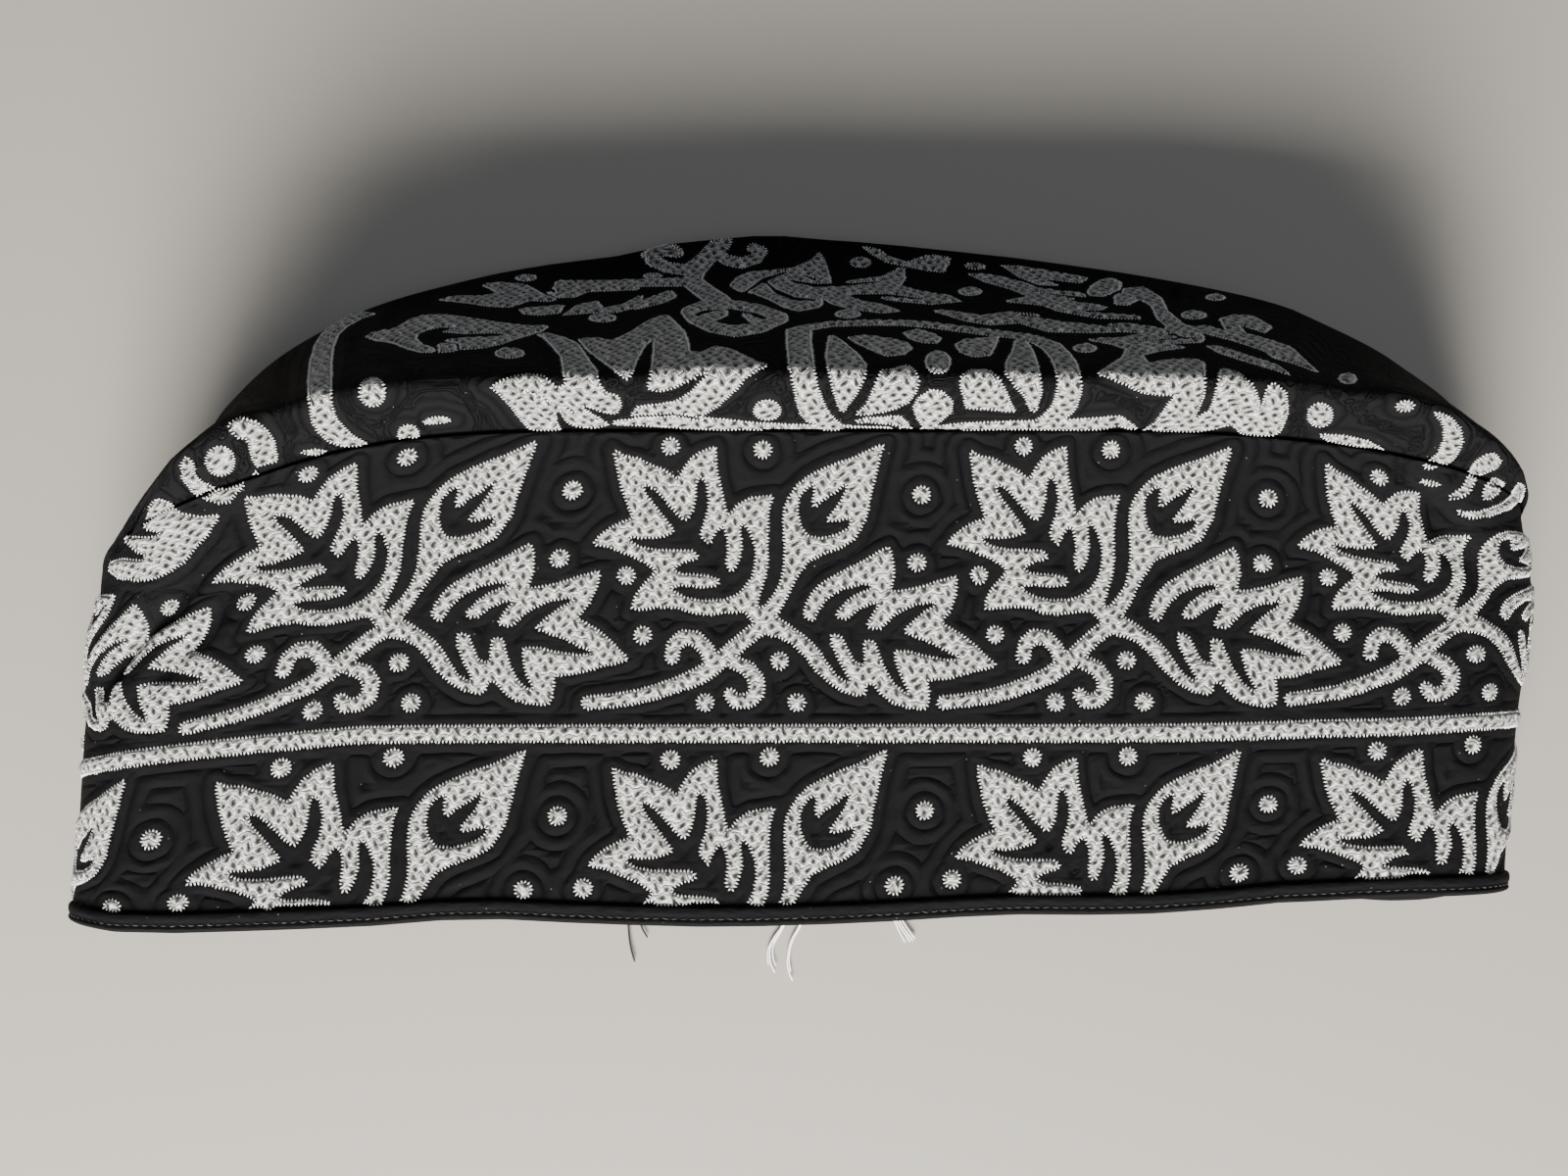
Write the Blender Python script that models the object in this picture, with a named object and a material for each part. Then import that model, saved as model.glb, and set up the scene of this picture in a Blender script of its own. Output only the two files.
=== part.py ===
# Embroidered round cap lying on its back wall, crown away from the hem.
# X runs along the flattened width, Y from the hem to the crown, Z up from the table.
import math

import bmesh
import bpy

MM = 0.001

# The band is one strip of cloth 576 round, pressed to an oval where it lies
WALL_HEIGHT = 87.0
CLOTH = 2.0
SEAM_GAP = 0.3
HEM_Y = -69.0
MIDDLE_X = -3.7

# Hem binding folded round the band's lower edge
BINDING_WIDTH = 4.4
BINDING_CLOTH = 0.8
BINDING_GAP = 0.3
BINDING_STAND = BINDING_GAP + BINDING_CLOTH
BINDING_DROP = 0.7
BINDING_TURN = 0.4
BAND_LOWEST = 0.3

# Band sections from the hem up: oval height, the ends' places across, how far each end
# leans to the crown, and how far the lower wall stands off the table
BAND_COLUMNS = ("up", "height", "left", "right", "left_lean", "right_lean", "stand")
BAND_ROWS = (
    (0.0, 33.0, -132.6, 134.6, 1.0, 7.0, BINDING_STAND),
    (5.5, 33.5, -132.4, 135.0, 0.5, 7.0, BINDING_STAND),
    (20.0, 35.0, -132.6, 137.5, -2.0, 6.0, 0.0),
    (36.0, 36.5, -132.4, 139.4, -4.0, 5.0, 0.0),
    (56.0, 38.5, -132.0, 141.0, -12.0, 1.0, 0.0),
    (74.0, 42.0, -128.5, 140.2, -20.0, -7.0, 0.0),
    (87.0, 46.0, -121.5, 136.8, -25.0, -13.0, 0.0),
)

# Crown sections beyond the seam: the same, and how long the rounded ends are
CROWN_COLUMNS = ("reach", "height", "left", "right", "left_lean", "right_lean", "end")
CROWN_ROWS = (
    (0.0, 46.0, -121.5, 136.8, -25.0, -13.0, 23.0),
    (2.3, 52.0, -122.0, 137.6, -24.0, -13.0, 27.0),
    (5.2, 57.0, -122.2, 138.2, -23.0, -12.0, 33.0),
    (8.5, 55.5, -121.0, 137.6, -21.0, -11.0, 38.0),
    (14.0, 48.5, -117.5, 134.2, -18.0, -9.0, 42.0),
    (22.0, 37.5, -111.0, 128.5, -13.0, -6.0, 44.0),
    (31.0, 25.5, -102.5, 119.5, -8.0, -4.0, 42.0),
    (38.5, 15.5, -90.0, 105.0, -5.0, -2.0, 36.0),
    (44.0, 9.5, -72.0, 86.0, -2.0, -1.0, 28.0),
    (48.5, 7.0, -50.0, 60.0, 0.0, 0.0, 20.0),
    (51.5, 6.2, -30.0, 30.0, 0.0, 0.0, 12.0),
)

# Folds pressed into the cloth: middle across and up, direction of the fold line in
# degrees, half length, half width, depth inward
FOLD_COLUMNS = ("across", "up", "turn", "length", "width", "depth")
BAND_FOLDS = (
    (-116.0, 57.0, 47.0, 15.0, 3.2, 3.4),
    (-106.0, 54.0, 49.0, 13.0, 2.4, 1.8),
    (-60.0, 30.0, 8.0, 46.0, 15.0, 0.9),
    (64.0, 46.0, -12.0, 50.0, 16.0, -0.8),
    (121.0, 70.0, -58.0, 14.0, 4.0, 2.2),
)
CROWN_FOLDS = (
    (-88.0, 9.0, -62.0, 20.0, 6.0, 2.6),
    (100.0, 13.0, 64.0, 18.0, 6.0, 2.2),
    (-20.0, 33.0, 4.0, 44.0, 7.0, 1.4),
    (52.0, 25.0, -8.0, 36.0, 6.0, 1.3),
)

# How finely the oval is cut round: the flat stretches and each rounded end
FLAT_STEPS = 24
END_STEPS = 16
LEAN_STRETCH = 0.3
LOW_LEAN = 0.35
LEAN_LEVEL = 12.0

# Folds die out this far from the seam on either side, which lies even all round
SEAM_CALM = 9.0


# Values of a table at a place between its rows, on a smooth curve
def read_row(rows, columns, place):
    first = 0
    while first < len(rows) - 2 and place > rows[first + 1][0]:
        first += 1
    low, high = rows[first], rows[first + 1]
    before = rows[max(first - 1, 0)]
    after = rows[min(first + 2, len(rows) - 1)]
    span = high[0] - low[0]
    t = min(max((place - low[0]) / span, 0.0), 1.0)
    values = {}
    for column, name in enumerate(columns):
        rise_low = (high[column] - before[column]) / (high[0] - before[0]) * span
        rise_high = (after[column] - low[column]) / (after[0] - low[0]) * span
        values[name] = (
            low[column] * (2 * t**3 - 3 * t**2 + 1)
            + rise_low * (t**3 - 2 * t**2 + t)
            + high[column] * (3 * t**2 - 2 * t**3)
            + rise_high * (t**3 - t**2)
        )
    return values


# Points and outward directions round one section, from the left end over the top
def oval(left, right, height, end, stand):
    flat_left, flat_right = left + end, right - end
    middle = stand + height / 2
    ring = []

    def add_end(centre, first_angle):
        for step in range(END_STEPS):
            angle = first_angle - math.pi * step / END_STEPS
            across, rise = math.cos(angle), math.sin(angle)
            lean = math.hypot(across / end, rise / (height / 2))
            normal = (across / end / lean, rise / (height / 2) / lean)
            ring.append((centre + end * across, middle + height / 2 * rise, normal))

    def add_flat(start, stop, level, normal):
        for step in range(FLAT_STEPS):
            t = step / FLAT_STEPS
            ring.append((start + (stop - start) * t, level, normal))

    add_flat(flat_left, flat_right, stand + height, (0.0, 1.0))
    add_end(flat_right, math.pi / 2)
    add_flat(flat_right, flat_left, stand, (0.0, -1.0))
    add_end(flat_left, -math.pi / 2)
    return ring


# How far the cloth is pressed in at a spot of the upper side
def fold_depth(folds, across, place):
    depth = 0.0
    for fold in folds:
        spot = dict(zip(FOLD_COLUMNS, fold))
        turn = math.radians(spot["turn"])
        dx, dy = across - spot["across"], place - spot["up"]
        along = (dx * math.cos(turn) + dy * math.sin(turn)) / spot["length"]
        beside = (dy * math.cos(turn) - dx * math.sin(turn)) / spot["width"]
        depth += spot["depth"] * math.exp(-along * along - beside * beside)
    return depth


# Shift to the crown at a spot across: full at either end, none in the middle
def leaned(across, level, row):
    middle, half = (row["left"] + row["right"]) / 2, (row["right"] - row["left"]) / 2
    t = (across - middle) / half
    share = max(abs(t) - LEAN_STRETCH, 0.0) / (1 - LEAN_STRETCH)
    lean = row["left_lean"] if t < 0 else row["right_lean"]
    by_level = LOW_LEAN + (1 - LOW_LEAN) * min(level / LEAN_LEVEL, 1.0)
    return lean * min(share, 1.0) ** 3 * by_level


# One section as points in space: folds press in from above, ends lean along
def place_ring(ring, row, y, folds, place, from_seam, inset):
    points = []
    calm = min(from_seam / SEAM_CALM, 1.0)
    for across, level, normal in ring:
        facing = max(normal[1], 0.0)
        sink = inset + fold_depth(folds, across, place) * facing * calm
        along = y + leaned(across, level, row)
        spot = (MIDDLE_X + across - sink * normal[0], along, level - sink * normal[1])
        points.append(tuple(value * MM for value in spot))
    return points


def band_ring(up, inset):
    row = read_row(BAND_ROWS, BAND_COLUMNS, up)
    stand = max(row["stand"], 0.0)
    ring = oval(row["left"], row["right"], row["height"], row["height"] / 2, stand)
    return place_ring(ring, row, HEM_Y + up, BAND_FOLDS, up, WALL_HEIGHT - up, inset)


def crown_ring(reach, inset):
    row = read_row(CROWN_ROWS, CROWN_COLUMNS, reach)
    ring = oval(row["left"], row["right"], row["height"], row["end"], 0.0)
    y = HEM_Y + WALL_HEIGHT + SEAM_GAP + reach
    return place_ring(ring, row, y, CROWN_FOLDS, reach, reach, inset)


# A closed body from rings of equal count, shaded smooth
def loft(rings, name, material, close_first, close_last, wrap):
    mesh = bmesh.new()
    rows = [[mesh.verts.new(point) for point in ring] for ring in rings]
    pairs = list(zip(rows, rows[1:]))
    if wrap:
        pairs.append((rows[-1], rows[0]))
    for low, high in pairs:
        for step in range(len(low)):
            following = (step + 1) % len(low)
            mesh.faces.new((low[step], low[following], high[following], high[step]))
    for wanted, row in ((close_first, rows[0]), (close_last, rows[-1])):
        if wanted:
            mesh.faces.new(row)
    bmesh.ops.recalc_face_normals(mesh, faces=mesh.faces)
    bmesh.ops.triangulate(mesh, faces=[f for f in mesh.faces if len(f.verts) > 4])
    for face in mesh.faces:
        face.smooth = True
    data = bpy.data.meshes.new(name)
    mesh.to_mesh(data)
    mesh.free()
    data.materials.append(material)
    made = bpy.data.objects.new(name, data)
    bpy.data.collections["kumma_cap"].objects.link(made)
    return made


def cloth_material(name, colour, roughness):
    material = bpy.data.materials.new(name)
    material.use_nodes = True
    shader = material.node_tree.nodes["Principled BSDF"]
    shader.inputs["Base Color"].default_value = (*colour, 1.0)
    shader.inputs["Roughness"].default_value = roughness
    shader.inputs["Metallic"].default_value = 0.0
    material.diffuse_color = (*colour, 1.0)
    return material


def build_side_band():
    rises = (6.0, 13.0, 22.0, 32.0, 42.0, 50.0, 56.0, 62.0, 69.0, 76.0, 82.0)
    stations = (BAND_LOWEST, *rises, WALL_HEIGHT)
    outer = [band_ring(up, 0.0) for up in stations]
    inner = [band_ring(up, CLOTH) for up in reversed(stations)]
    cloth = cloth_material("black_cotton_band", (0.016, 0.016, 0.019), 0.85)
    return loft(outer + inner, "side_band", cloth, False, False, True)


def build_crown_panel():
    rows = [row[0] for row in CROWN_ROWS]
    between = [(low + high) / 2 for low, high in zip(rows, rows[1:])]
    stations = sorted(rows + between)
    outer = [crown_ring(reach, 0.0) for reach in stations]
    tip = stations[-1]
    inner = [crown_ring(min(reach, tip - CLOTH), CLOTH) for reach in reversed(stations)]
    cloth = cloth_material("black_cotton_crown", (0.014, 0.014, 0.017), 0.85)
    return loft(inner + outer, "crown_panel", cloth, True, True, False)


def build_hem_binding():
    # Height up the band and depth inward of each corner of the folded strip
    inside = CLOTH + BINDING_GAP
    profile = (
        (BINDING_WIDTH, -BINDING_GAP),
        (BINDING_WIDTH, -BINDING_STAND),
        (BINDING_TURN, -BINDING_STAND),
        (-BINDING_DROP, 0.0),
        (-BINDING_DROP, CLOTH),
        (BINDING_TURN, inside + BINDING_CLOTH),
        (BINDING_WIDTH, inside + BINDING_CLOTH),
        (BINDING_WIDTH, inside),
        (0.0, inside),
        (0.0, -BINDING_GAP),
    )
    rings = [band_ring(up, inset) for up, inset in profile]
    cloth = cloth_material("black_cotton_hem", (0.02, 0.02, 0.023), 0.8)
    return loft(rings, "hem_binding", cloth, False, False, True)


def main():
    for old in list(bpy.data.objects):
        bpy.data.objects.remove(old, do_unlink=True)
    group = bpy.data.collections.new("kumma_cap")
    bpy.context.scene.collection.children.link(group)
    build_side_band()
    build_crown_panel()
    build_hem_binding()


main()
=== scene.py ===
import math

import bmesh
import bpy
import numpy as np
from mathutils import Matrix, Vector


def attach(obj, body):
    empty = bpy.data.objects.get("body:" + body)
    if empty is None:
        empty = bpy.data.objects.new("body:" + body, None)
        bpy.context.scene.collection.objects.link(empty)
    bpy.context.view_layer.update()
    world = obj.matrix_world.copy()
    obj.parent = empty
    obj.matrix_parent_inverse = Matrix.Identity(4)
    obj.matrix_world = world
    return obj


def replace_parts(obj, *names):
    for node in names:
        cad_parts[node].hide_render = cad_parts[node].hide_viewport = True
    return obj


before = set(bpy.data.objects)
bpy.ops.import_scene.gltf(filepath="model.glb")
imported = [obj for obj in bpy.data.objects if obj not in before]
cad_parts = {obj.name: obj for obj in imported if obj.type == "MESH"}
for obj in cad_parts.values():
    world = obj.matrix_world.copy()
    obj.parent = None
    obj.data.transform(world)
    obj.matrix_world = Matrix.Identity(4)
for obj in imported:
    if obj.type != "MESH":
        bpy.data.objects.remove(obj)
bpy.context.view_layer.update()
print("frame loaded")

mm = 0.001
tinyStep = 1e-6
tinySize = 1e-9

# The cap's own sizes, the same as in the part's source, in millimetres
capShape = {
    "wallHeight": 87.0,
    "cloth": 2.0,
    "seamGap": 0.3,
    "hemY": -69.0,
    "middleX": -3.7,
    "leanStretch": 0.3,
    "lowLean": 0.35,
    "leanLevel": 12.0,
    "seamCalm": 9.0,
    "endSteps": 61,
}
bindingShape = {"cloth": 0.8, "gap": 0.3}
bindingStand = bindingShape["gap"] + bindingShape["cloth"]

# up, height, left, right, left lean, right lean, stand off the table
bandRows = (
    (0.0, 33.0, -132.6, 134.6, 1.0, 7.0, bindingStand),
    (5.5, 33.5, -132.4, 135.0, 0.5, 7.0, bindingStand),
    (20.0, 35.0, -132.6, 137.5, -2.0, 6.0, 0.0),
    (36.0, 36.5, -132.4, 139.4, -4.0, 5.0, 0.0),
    (56.0, 38.5, -132.0, 141.0, -12.0, 1.0, 0.0),
    (74.0, 42.0, -128.5, 140.2, -20.0, -7.0, 0.0),
    (87.0, 46.0, -121.5, 136.8, -25.0, -13.0, 0.0),
)
# reach beyond the seam, height, left, right, left lean, right lean, length of the ends
crownRows = (
    (0.0, 46.0, -121.5, 136.8, -25.0, -13.0, 23.0),
    (2.3, 52.0, -122.0, 137.6, -24.0, -13.0, 27.0),
    (5.2, 57.0, -122.2, 138.2, -23.0, -12.0, 33.0),
    (8.5, 55.5, -121.0, 137.6, -21.0, -11.0, 38.0),
    (14.0, 48.5, -117.5, 134.2, -18.0, -9.0, 42.0),
    (22.0, 37.5, -111.0, 128.5, -13.0, -6.0, 44.0),
    (31.0, 25.5, -102.5, 119.5, -8.0, -4.0, 42.0),
    (38.5, 15.5, -90.0, 105.0, -5.0, -2.0, 36.0),
    (44.0, 9.5, -72.0, 86.0, -2.0, -1.0, 28.0),
    (48.5, 7.0, -50.0, 60.0, 0.0, 0.0, 20.0),
    (51.5, 6.2, -30.0, 30.0, 0.0, 0.0, 12.0),
)
# across, up, turn in degrees, length, width, depth
bandFolds = (
    (-116.0, 57.0, 47.0, 15.0, 3.2, 3.4),
    (-106.0, 54.0, 49.0, 13.0, 2.4, 1.8),
    (-60.0, 30.0, 8.0, 46.0, 15.0, 0.9),
    (64.0, 46.0, -12.0, 50.0, 16.0, -0.8),
    (121.0, 70.0, -58.0, 14.0, 4.0, 2.2),
)
crownFolds = (
    (-88.0, 9.0, -62.0, 20.0, 6.0, 2.6),
    (100.0, 13.0, 64.0, 18.0, 6.0, 2.2),
    (-20.0, 33.0, 4.0, 44.0, 7.0, 1.4),
    (52.0, 25.0, -8.0, 36.0, 6.0, 1.3),
)

# the hem waves a little: across, and how far it is moved up the wall
hemWave = ((-138.0, -0.7), (-131.0, -1.7), (-119.0, -2.9), (-108.0, -2.9), (-96.0, -2.4), (-85.0, -1.9),
           (-73.0, -1.3), (-61.0, -0.3), (-50.0, -0.1), (-38.0, -0.7), (-27.0, -1.1), (-15.0, -1.4),
           (-4.0, -1.3), (8.0, -0.95), (19.0, -0.45), (31.0, 0.3), (42.0, 0.75), (54.0, 0.65),
           (65.0, 0.75), (77.0, 1.3), (88.0, 1.9), (100.0, 1.6), (111.0, 0.9), (123.0, -0.6),
           (135.0, -2.3), (140.0, -2.4))
# how far from the hem its wave fades out, and how far from the seam the crown's comes in
waveReach = {"hem": 30.0, "crown": 14.0}
# the seam rolls down a little, and the crown's far edge is dented: across, and how far back
seamRoll = {"drop": 0.75, "crownFades": 3.0, "bandFades": 6.0}
crownWave = ((-100.0, -0.6), (-71.0, -1.7), (-60.0, -1.8), (-42.0, -2.4), (-32.0, -2.5), (-24.0, -1.2),
             (-12.0, -0.3), (0.0, -0.3), (23.0, -1.5), (42.0, -1.8), (61.0, -2.3), (80.0, -2.1),
             (105.0, -1.8), (122.0, -3.4), (132.0, -2.4), (138.0, -1.0))
# the ends are pressed to one slope over the seam. band and crown: up or reach, and how far out;
# sink: distance from the middle, and how far down the crown is pulled there
pressedEnds = (
    {"side": -1, "from": 92.0, "over": 26.0,
     "band": ((0.0, 0.0), (50.0, 0.0), (60.0, 0.6), (70.0, 1.5), (78.0, 2.8), (84.0, 5.6), (87.0, 7.0)),
     "crown": ((0.0, 7.0), (1.5, 5.2), (3.0, 3.6), (6.5, 0.8), (10.0, -2.4), (14.0, -3.0), (22.0, 0.0),
               (51.5, 0.0)),
     "sink": ((97.0, 0.0), (105.9, 1.3), (110.0, 3.4), (114.5, 5.6), (119.7, 6.0), (125.0, 4.2))},
    {"side": 1, "from": 112.0, "over": 22.0,
     "band": ((0.0, 0.0), (30.0, 0.0), (50.0, 1.3), (78.0, 1.4), (84.0, 2.2), (87.0, 2.9)),
     "crown": ((0.0, 2.9), (1.5, 1.6), (3.0, 0.4), (5.0, 0.0), (51.5, 0.0)),
     "sink": ((117.0, 0.0), (121.6, 1.0), (126.0, 1.7), (130.6, 2.8), (132.9, 3.4), (134.3, 4.6),
              (138.0, 5.0))},
)
# reach, and how much of the sink is felt there
sinkByReach = ((0.0, 0.0), (2.0, 0.5), (5.0, 1.0), (10.0, 1.0), (14.0, 0.85), (22.0, 0.3), (31.0, 0.0),
               (51.5, 0.0))


def eased(share):
    # a share that starts and stops gently
    return share * share * (3 - 2 * share)


def readRow(rows, place):
    # one row of a table at any place, on a smooth curve
    first = 0
    while first < len(rows) - 2 and place > rows[first + 1][0]:
        first += 1
    low, high = rows[first], rows[first + 1]
    before = rows[max(first - 1, 0)]
    after = rows[min(first + 2, len(rows) - 1)]
    span = high[0] - low[0]
    t = min(max((place - low[0]) / span, 0.0), 1.0)
    values = []
    for k in range(len(low)):
        riseLow = (high[k] - before[k]) / (high[0] - before[0]) * span
        riseHigh = (after[k] - low[k]) / (after[0] - low[0]) * span
        values.append(low[k] * (2 * t**3 - 3 * t**2 + 1) + riseLow * (t**3 - 2 * t**2 + t)
                      + high[k] * (3 * t**2 - 2 * t**3) + riseHigh * (t**3 - t**2))
    return values


def foldDepth(folds, across, place):
    depth = np.zeros_like(across)
    for middle, up, turn, length, width, deep in folds:
        c, s = math.cos(math.radians(turn)), math.sin(math.radians(turn))
        dx, dy = across - middle, place - up
        depth += deep * np.exp(-((dx * c + dy * s) / length) ** 2 - ((dy * c - dx * s) / width) ** 2)
    return depth


def ovalAt(around, left, right, height, end, stand):
    # points and outward directions at distances round the section, 0 on top in the middle
    steps = np.linspace(0, math.pi, capShape["endSteps"])
    rx, rz = end, height / 2
    rightX, rightZ = right - end + rx * np.sin(steps), stand + rz + rz * np.cos(steps)
    leftX, leftZ = left + end - rx * np.sin(steps), stand + rz - rz * np.cos(steps)
    x = np.concatenate([[0.0], rightX, [0.0], leftX, [0.0]])
    z = np.concatenate([[stand + height], rightZ, [stand], leftZ, [stand + height]])
    nx = np.concatenate([[0.0], np.sin(steps) / rx, [0.0], -np.sin(steps) / rx, [0.0]])
    nz = np.concatenate([[1.0], np.cos(steps) / rz, [-1.0], -np.cos(steps) / rz, [1.0]])
    size = np.hypot(nx, nz)
    run = np.concatenate([[0.0], np.cumsum(np.hypot(np.diff(x), np.diff(z)))])
    at = np.mod(around, run[-1])

    def take(values):
        return np.interp(at, run, values)

    px, pz, ox, oz = take(x), take(z), take(nx / size), take(nz / size)
    size = np.hypot(ox, oz)
    return px, pz, ox / size, oz / size, run[-1]


def ringAt(rows, folds, place, around, inset, yBase, fromSeam, isBand):
    # one ring of cloth: positions and the directions it faces, in millimetres
    row = readRow(rows, place)
    _, height, left, right, leftLean, rightLean, last = row
    end, stand = (height / 2, max(last, 0.0)) if isBand else (last, 0.0)
    x, z, nx, nz, girth = ovalAt(around, left, right, height, end, stand)
    calm = min(fromSeam / capShape["seamCalm"], 1.0)
    sink = inset + foldDepth(folds, x, place) * np.maximum(nz, 0) * calm
    t = (x - (left + right) / 2) / ((right - left) / 2)
    stretch = capShape["leanStretch"]
    share = np.clip((np.abs(t) - stretch) / (1 - stretch), 0, 1) ** 3
    byLevel = capShape["lowLean"] + (1 - capShape["lowLean"]) * np.minimum(z / capShape["leanLevel"], 1)
    lean = np.where(t < 0, leftLean, rightLean) * share * byLevel
    points = np.stack([capShape["middleX"] + x - sink * nx, yBase + lean, z - sink * nz], 1)
    return points, np.stack([nx, np.zeros_like(nx), nz], 1), girth


def endShare(end, across):
    return eased(np.clip((end["side"] * across - end["from"]) / end["over"], 0, 1))


def bandRing(up, around, inset):
    points, out, girth = ringAt(bandRows, bandFolds, up, around, inset, capShape["hemY"] + up,
                                capShape["wallHeight"] - up, True)
    across = points[:, 0] - capShape["middleX"]
    share = min(max(1 - up / waveReach["hem"], 0.0), 1.0)
    points[:, 1] += np.interp(across, *zip(*hemWave)) * eased(share)
    points[:, 1] -= seamRoll["drop"] * math.exp((up - capShape["wallHeight"]) / seamRoll["bandFades"])
    for end in pressedEnds:
        points[:, 0] += end["side"] * readRow(end["band"], up)[1] * endShare(end, across)
    return points, out, girth


def crownRing(reach, around, inset):
    y = capShape["hemY"] + capShape["wallHeight"] + capShape["seamGap"] + reach
    points, out, girth = ringAt(crownRows, crownFolds, reach, around, inset, y, reach, False)
    across = points[:, 0] - capShape["middleX"]
    points[:, 1] += np.interp(across, *zip(*crownWave)) * min(reach / waveReach["crown"], 1.0)
    points[:, 1] -= seamRoll["drop"] * math.exp(-reach / seamRoll["crownFades"])
    for end in pressedEnds:
        points[:, 0] += end["side"] * readRow(end["crown"], reach)[1] * endShare(end, across)
        points[:, 1] -= np.interp(end["side"] * across, *zip(*end["sink"])) * readRow(sinkByReach, reach)[1]
    return points, out, girth


# Camera at the photo's viewing angle, in millimetres, with the lens in pixels of a 1600 wide image
cameraPlace = {"x": -3.7, "y": -51.8, "z": 301.3, "elevation": 81.0, "lensPixels": 1500.0}
frameSize = (1600, 1200)
middleX, middleY = frameSize[0] / 2, frameSize[1] / 2


def chartOf(points):
    # where a spot of the cap is seen in the 1600 x 1200 frame
    tilt = math.radians(cameraPlace["elevation"])
    offset = points - np.array([cameraPlace["x"], cameraPlace["y"], cameraPlace["z"]])
    deep = offset[..., 1] * math.cos(tilt) - offset[..., 2] * math.sin(tilt)
    rise = offset[..., 1] * math.sin(tilt) + offset[..., 2] * math.cos(tilt)
    scale = cameraPlace["lensPixels"] / deep
    return middleX + offset[..., 0] * scale, middleY - rise * scale


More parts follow.
